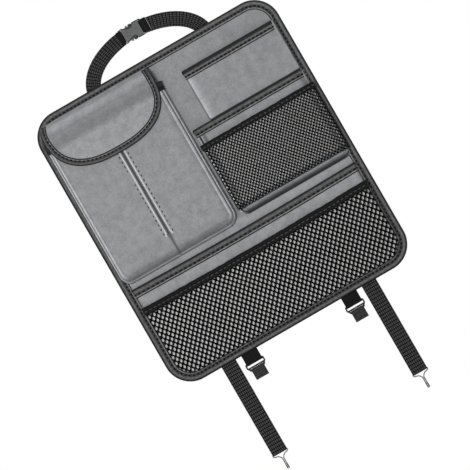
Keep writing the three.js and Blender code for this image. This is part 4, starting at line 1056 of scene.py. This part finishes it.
# Studio, in metres: a pale floor below, a white surround, a soft key from the upper left and a wide fill.
# Painted board, rolled: an even near white with no sheen.
FLOOR = finish("studio_floor_pale", cloudy(300.0, ("#eeeeee", "#f1f1f1")), roughness=0.8)
half, back, level = 1.2, 0.6, -0.62
corners = [(-half, -half, level), (half, -half, level), (half, back, level), (-half, back, level)]
floor_mesh = bpy.data.meshes.new("floor")
floor_mesh.from_pydata(corners, [], [(0, 1, 2, 3)])
floor = placed("floor", floor_mesh)
floor_mesh.materials.append(FLOOR)

# The surround lights the object weakly, and is pure white where the camera or a reflection sees it
WHITE, SURROUND_LIGHT = (1, 1, 1, 1), 0.22
world = bpy.data.worlds.new("studio")
bpy.context.scene.world = world
world.use_nodes = True
world.node_tree.nodes.clear()
node = partial(add, world.node_tree)
seen = node("LightPath", out="Is Camera Ray")
for ray in ("Is Transmission Ray", "Is Glossy Ray"):
    seen = node("Math", {0: seen, 1: node("LightPath", out=ray)}, operation="MAXIMUM")
surround, white = (node("Background", {"Color": WHITE, "Strength": light}) for light in (SURROUND_LIGHT, 1.0))
node("OutputWorld", {"Surface": node("MixShader", {0: seen, 1: surround, 2: white})})

# Each lamp is a square soft box that faces the object: name, watts, size, place
AIM = Vector((0.0, 0.0, -0.05))
for name, energy, size, place in (("key", 23.5, 0.3, (-0.3, -2.4, 0.25)), ("fill", 7.0, 1.4, (-0.8, -1.9, -0.9))):
    lamp_data = bpy.data.lights.new(name, "AREA")
    lamp_data.energy, lamp_data.size = energy, size
    lamp = placed(name, lamp_data)
    lamp.location = place
    lamp.rotation_euler = (AIM - Vector(place)).to_track_quat("-Z", "Y").to_euler()

# The camera is turned about its view, because the photo shows the upright object tilted by 30 degrees
TILT, VIEW_WIDTH, VIEW_CENTRE = math.radians(30), 0.711, Vector((-0.0169, -0.012, -0.0676))
camera_data = bpy.data.cameras.new("camera")
camera_data.lens, camera_data.sensor_width = 400.0, 36.0
camera_data.clip_start, camera_data.clip_end = 0.1, 20
camera = placed("camera", camera_data)
right, upward = Vector((math.cos(TILT), 0, -math.sin(TILT))), Vector((math.sin(TILT), 0, math.cos(TILT)))
backward = Vector((0, -1, 0))
distance = VIEW_WIDTH * camera_data.lens / camera_data.sensor_width
turned = Matrix((right, upward, backward)).transposed().to_4x4()
camera.matrix_world = Matrix.Translation(VIEW_CENTRE + distance * backward) @ turned
bpy.context.scene.camera = camera
bpy.context.scene.view_settings.view_transform = "Standard"
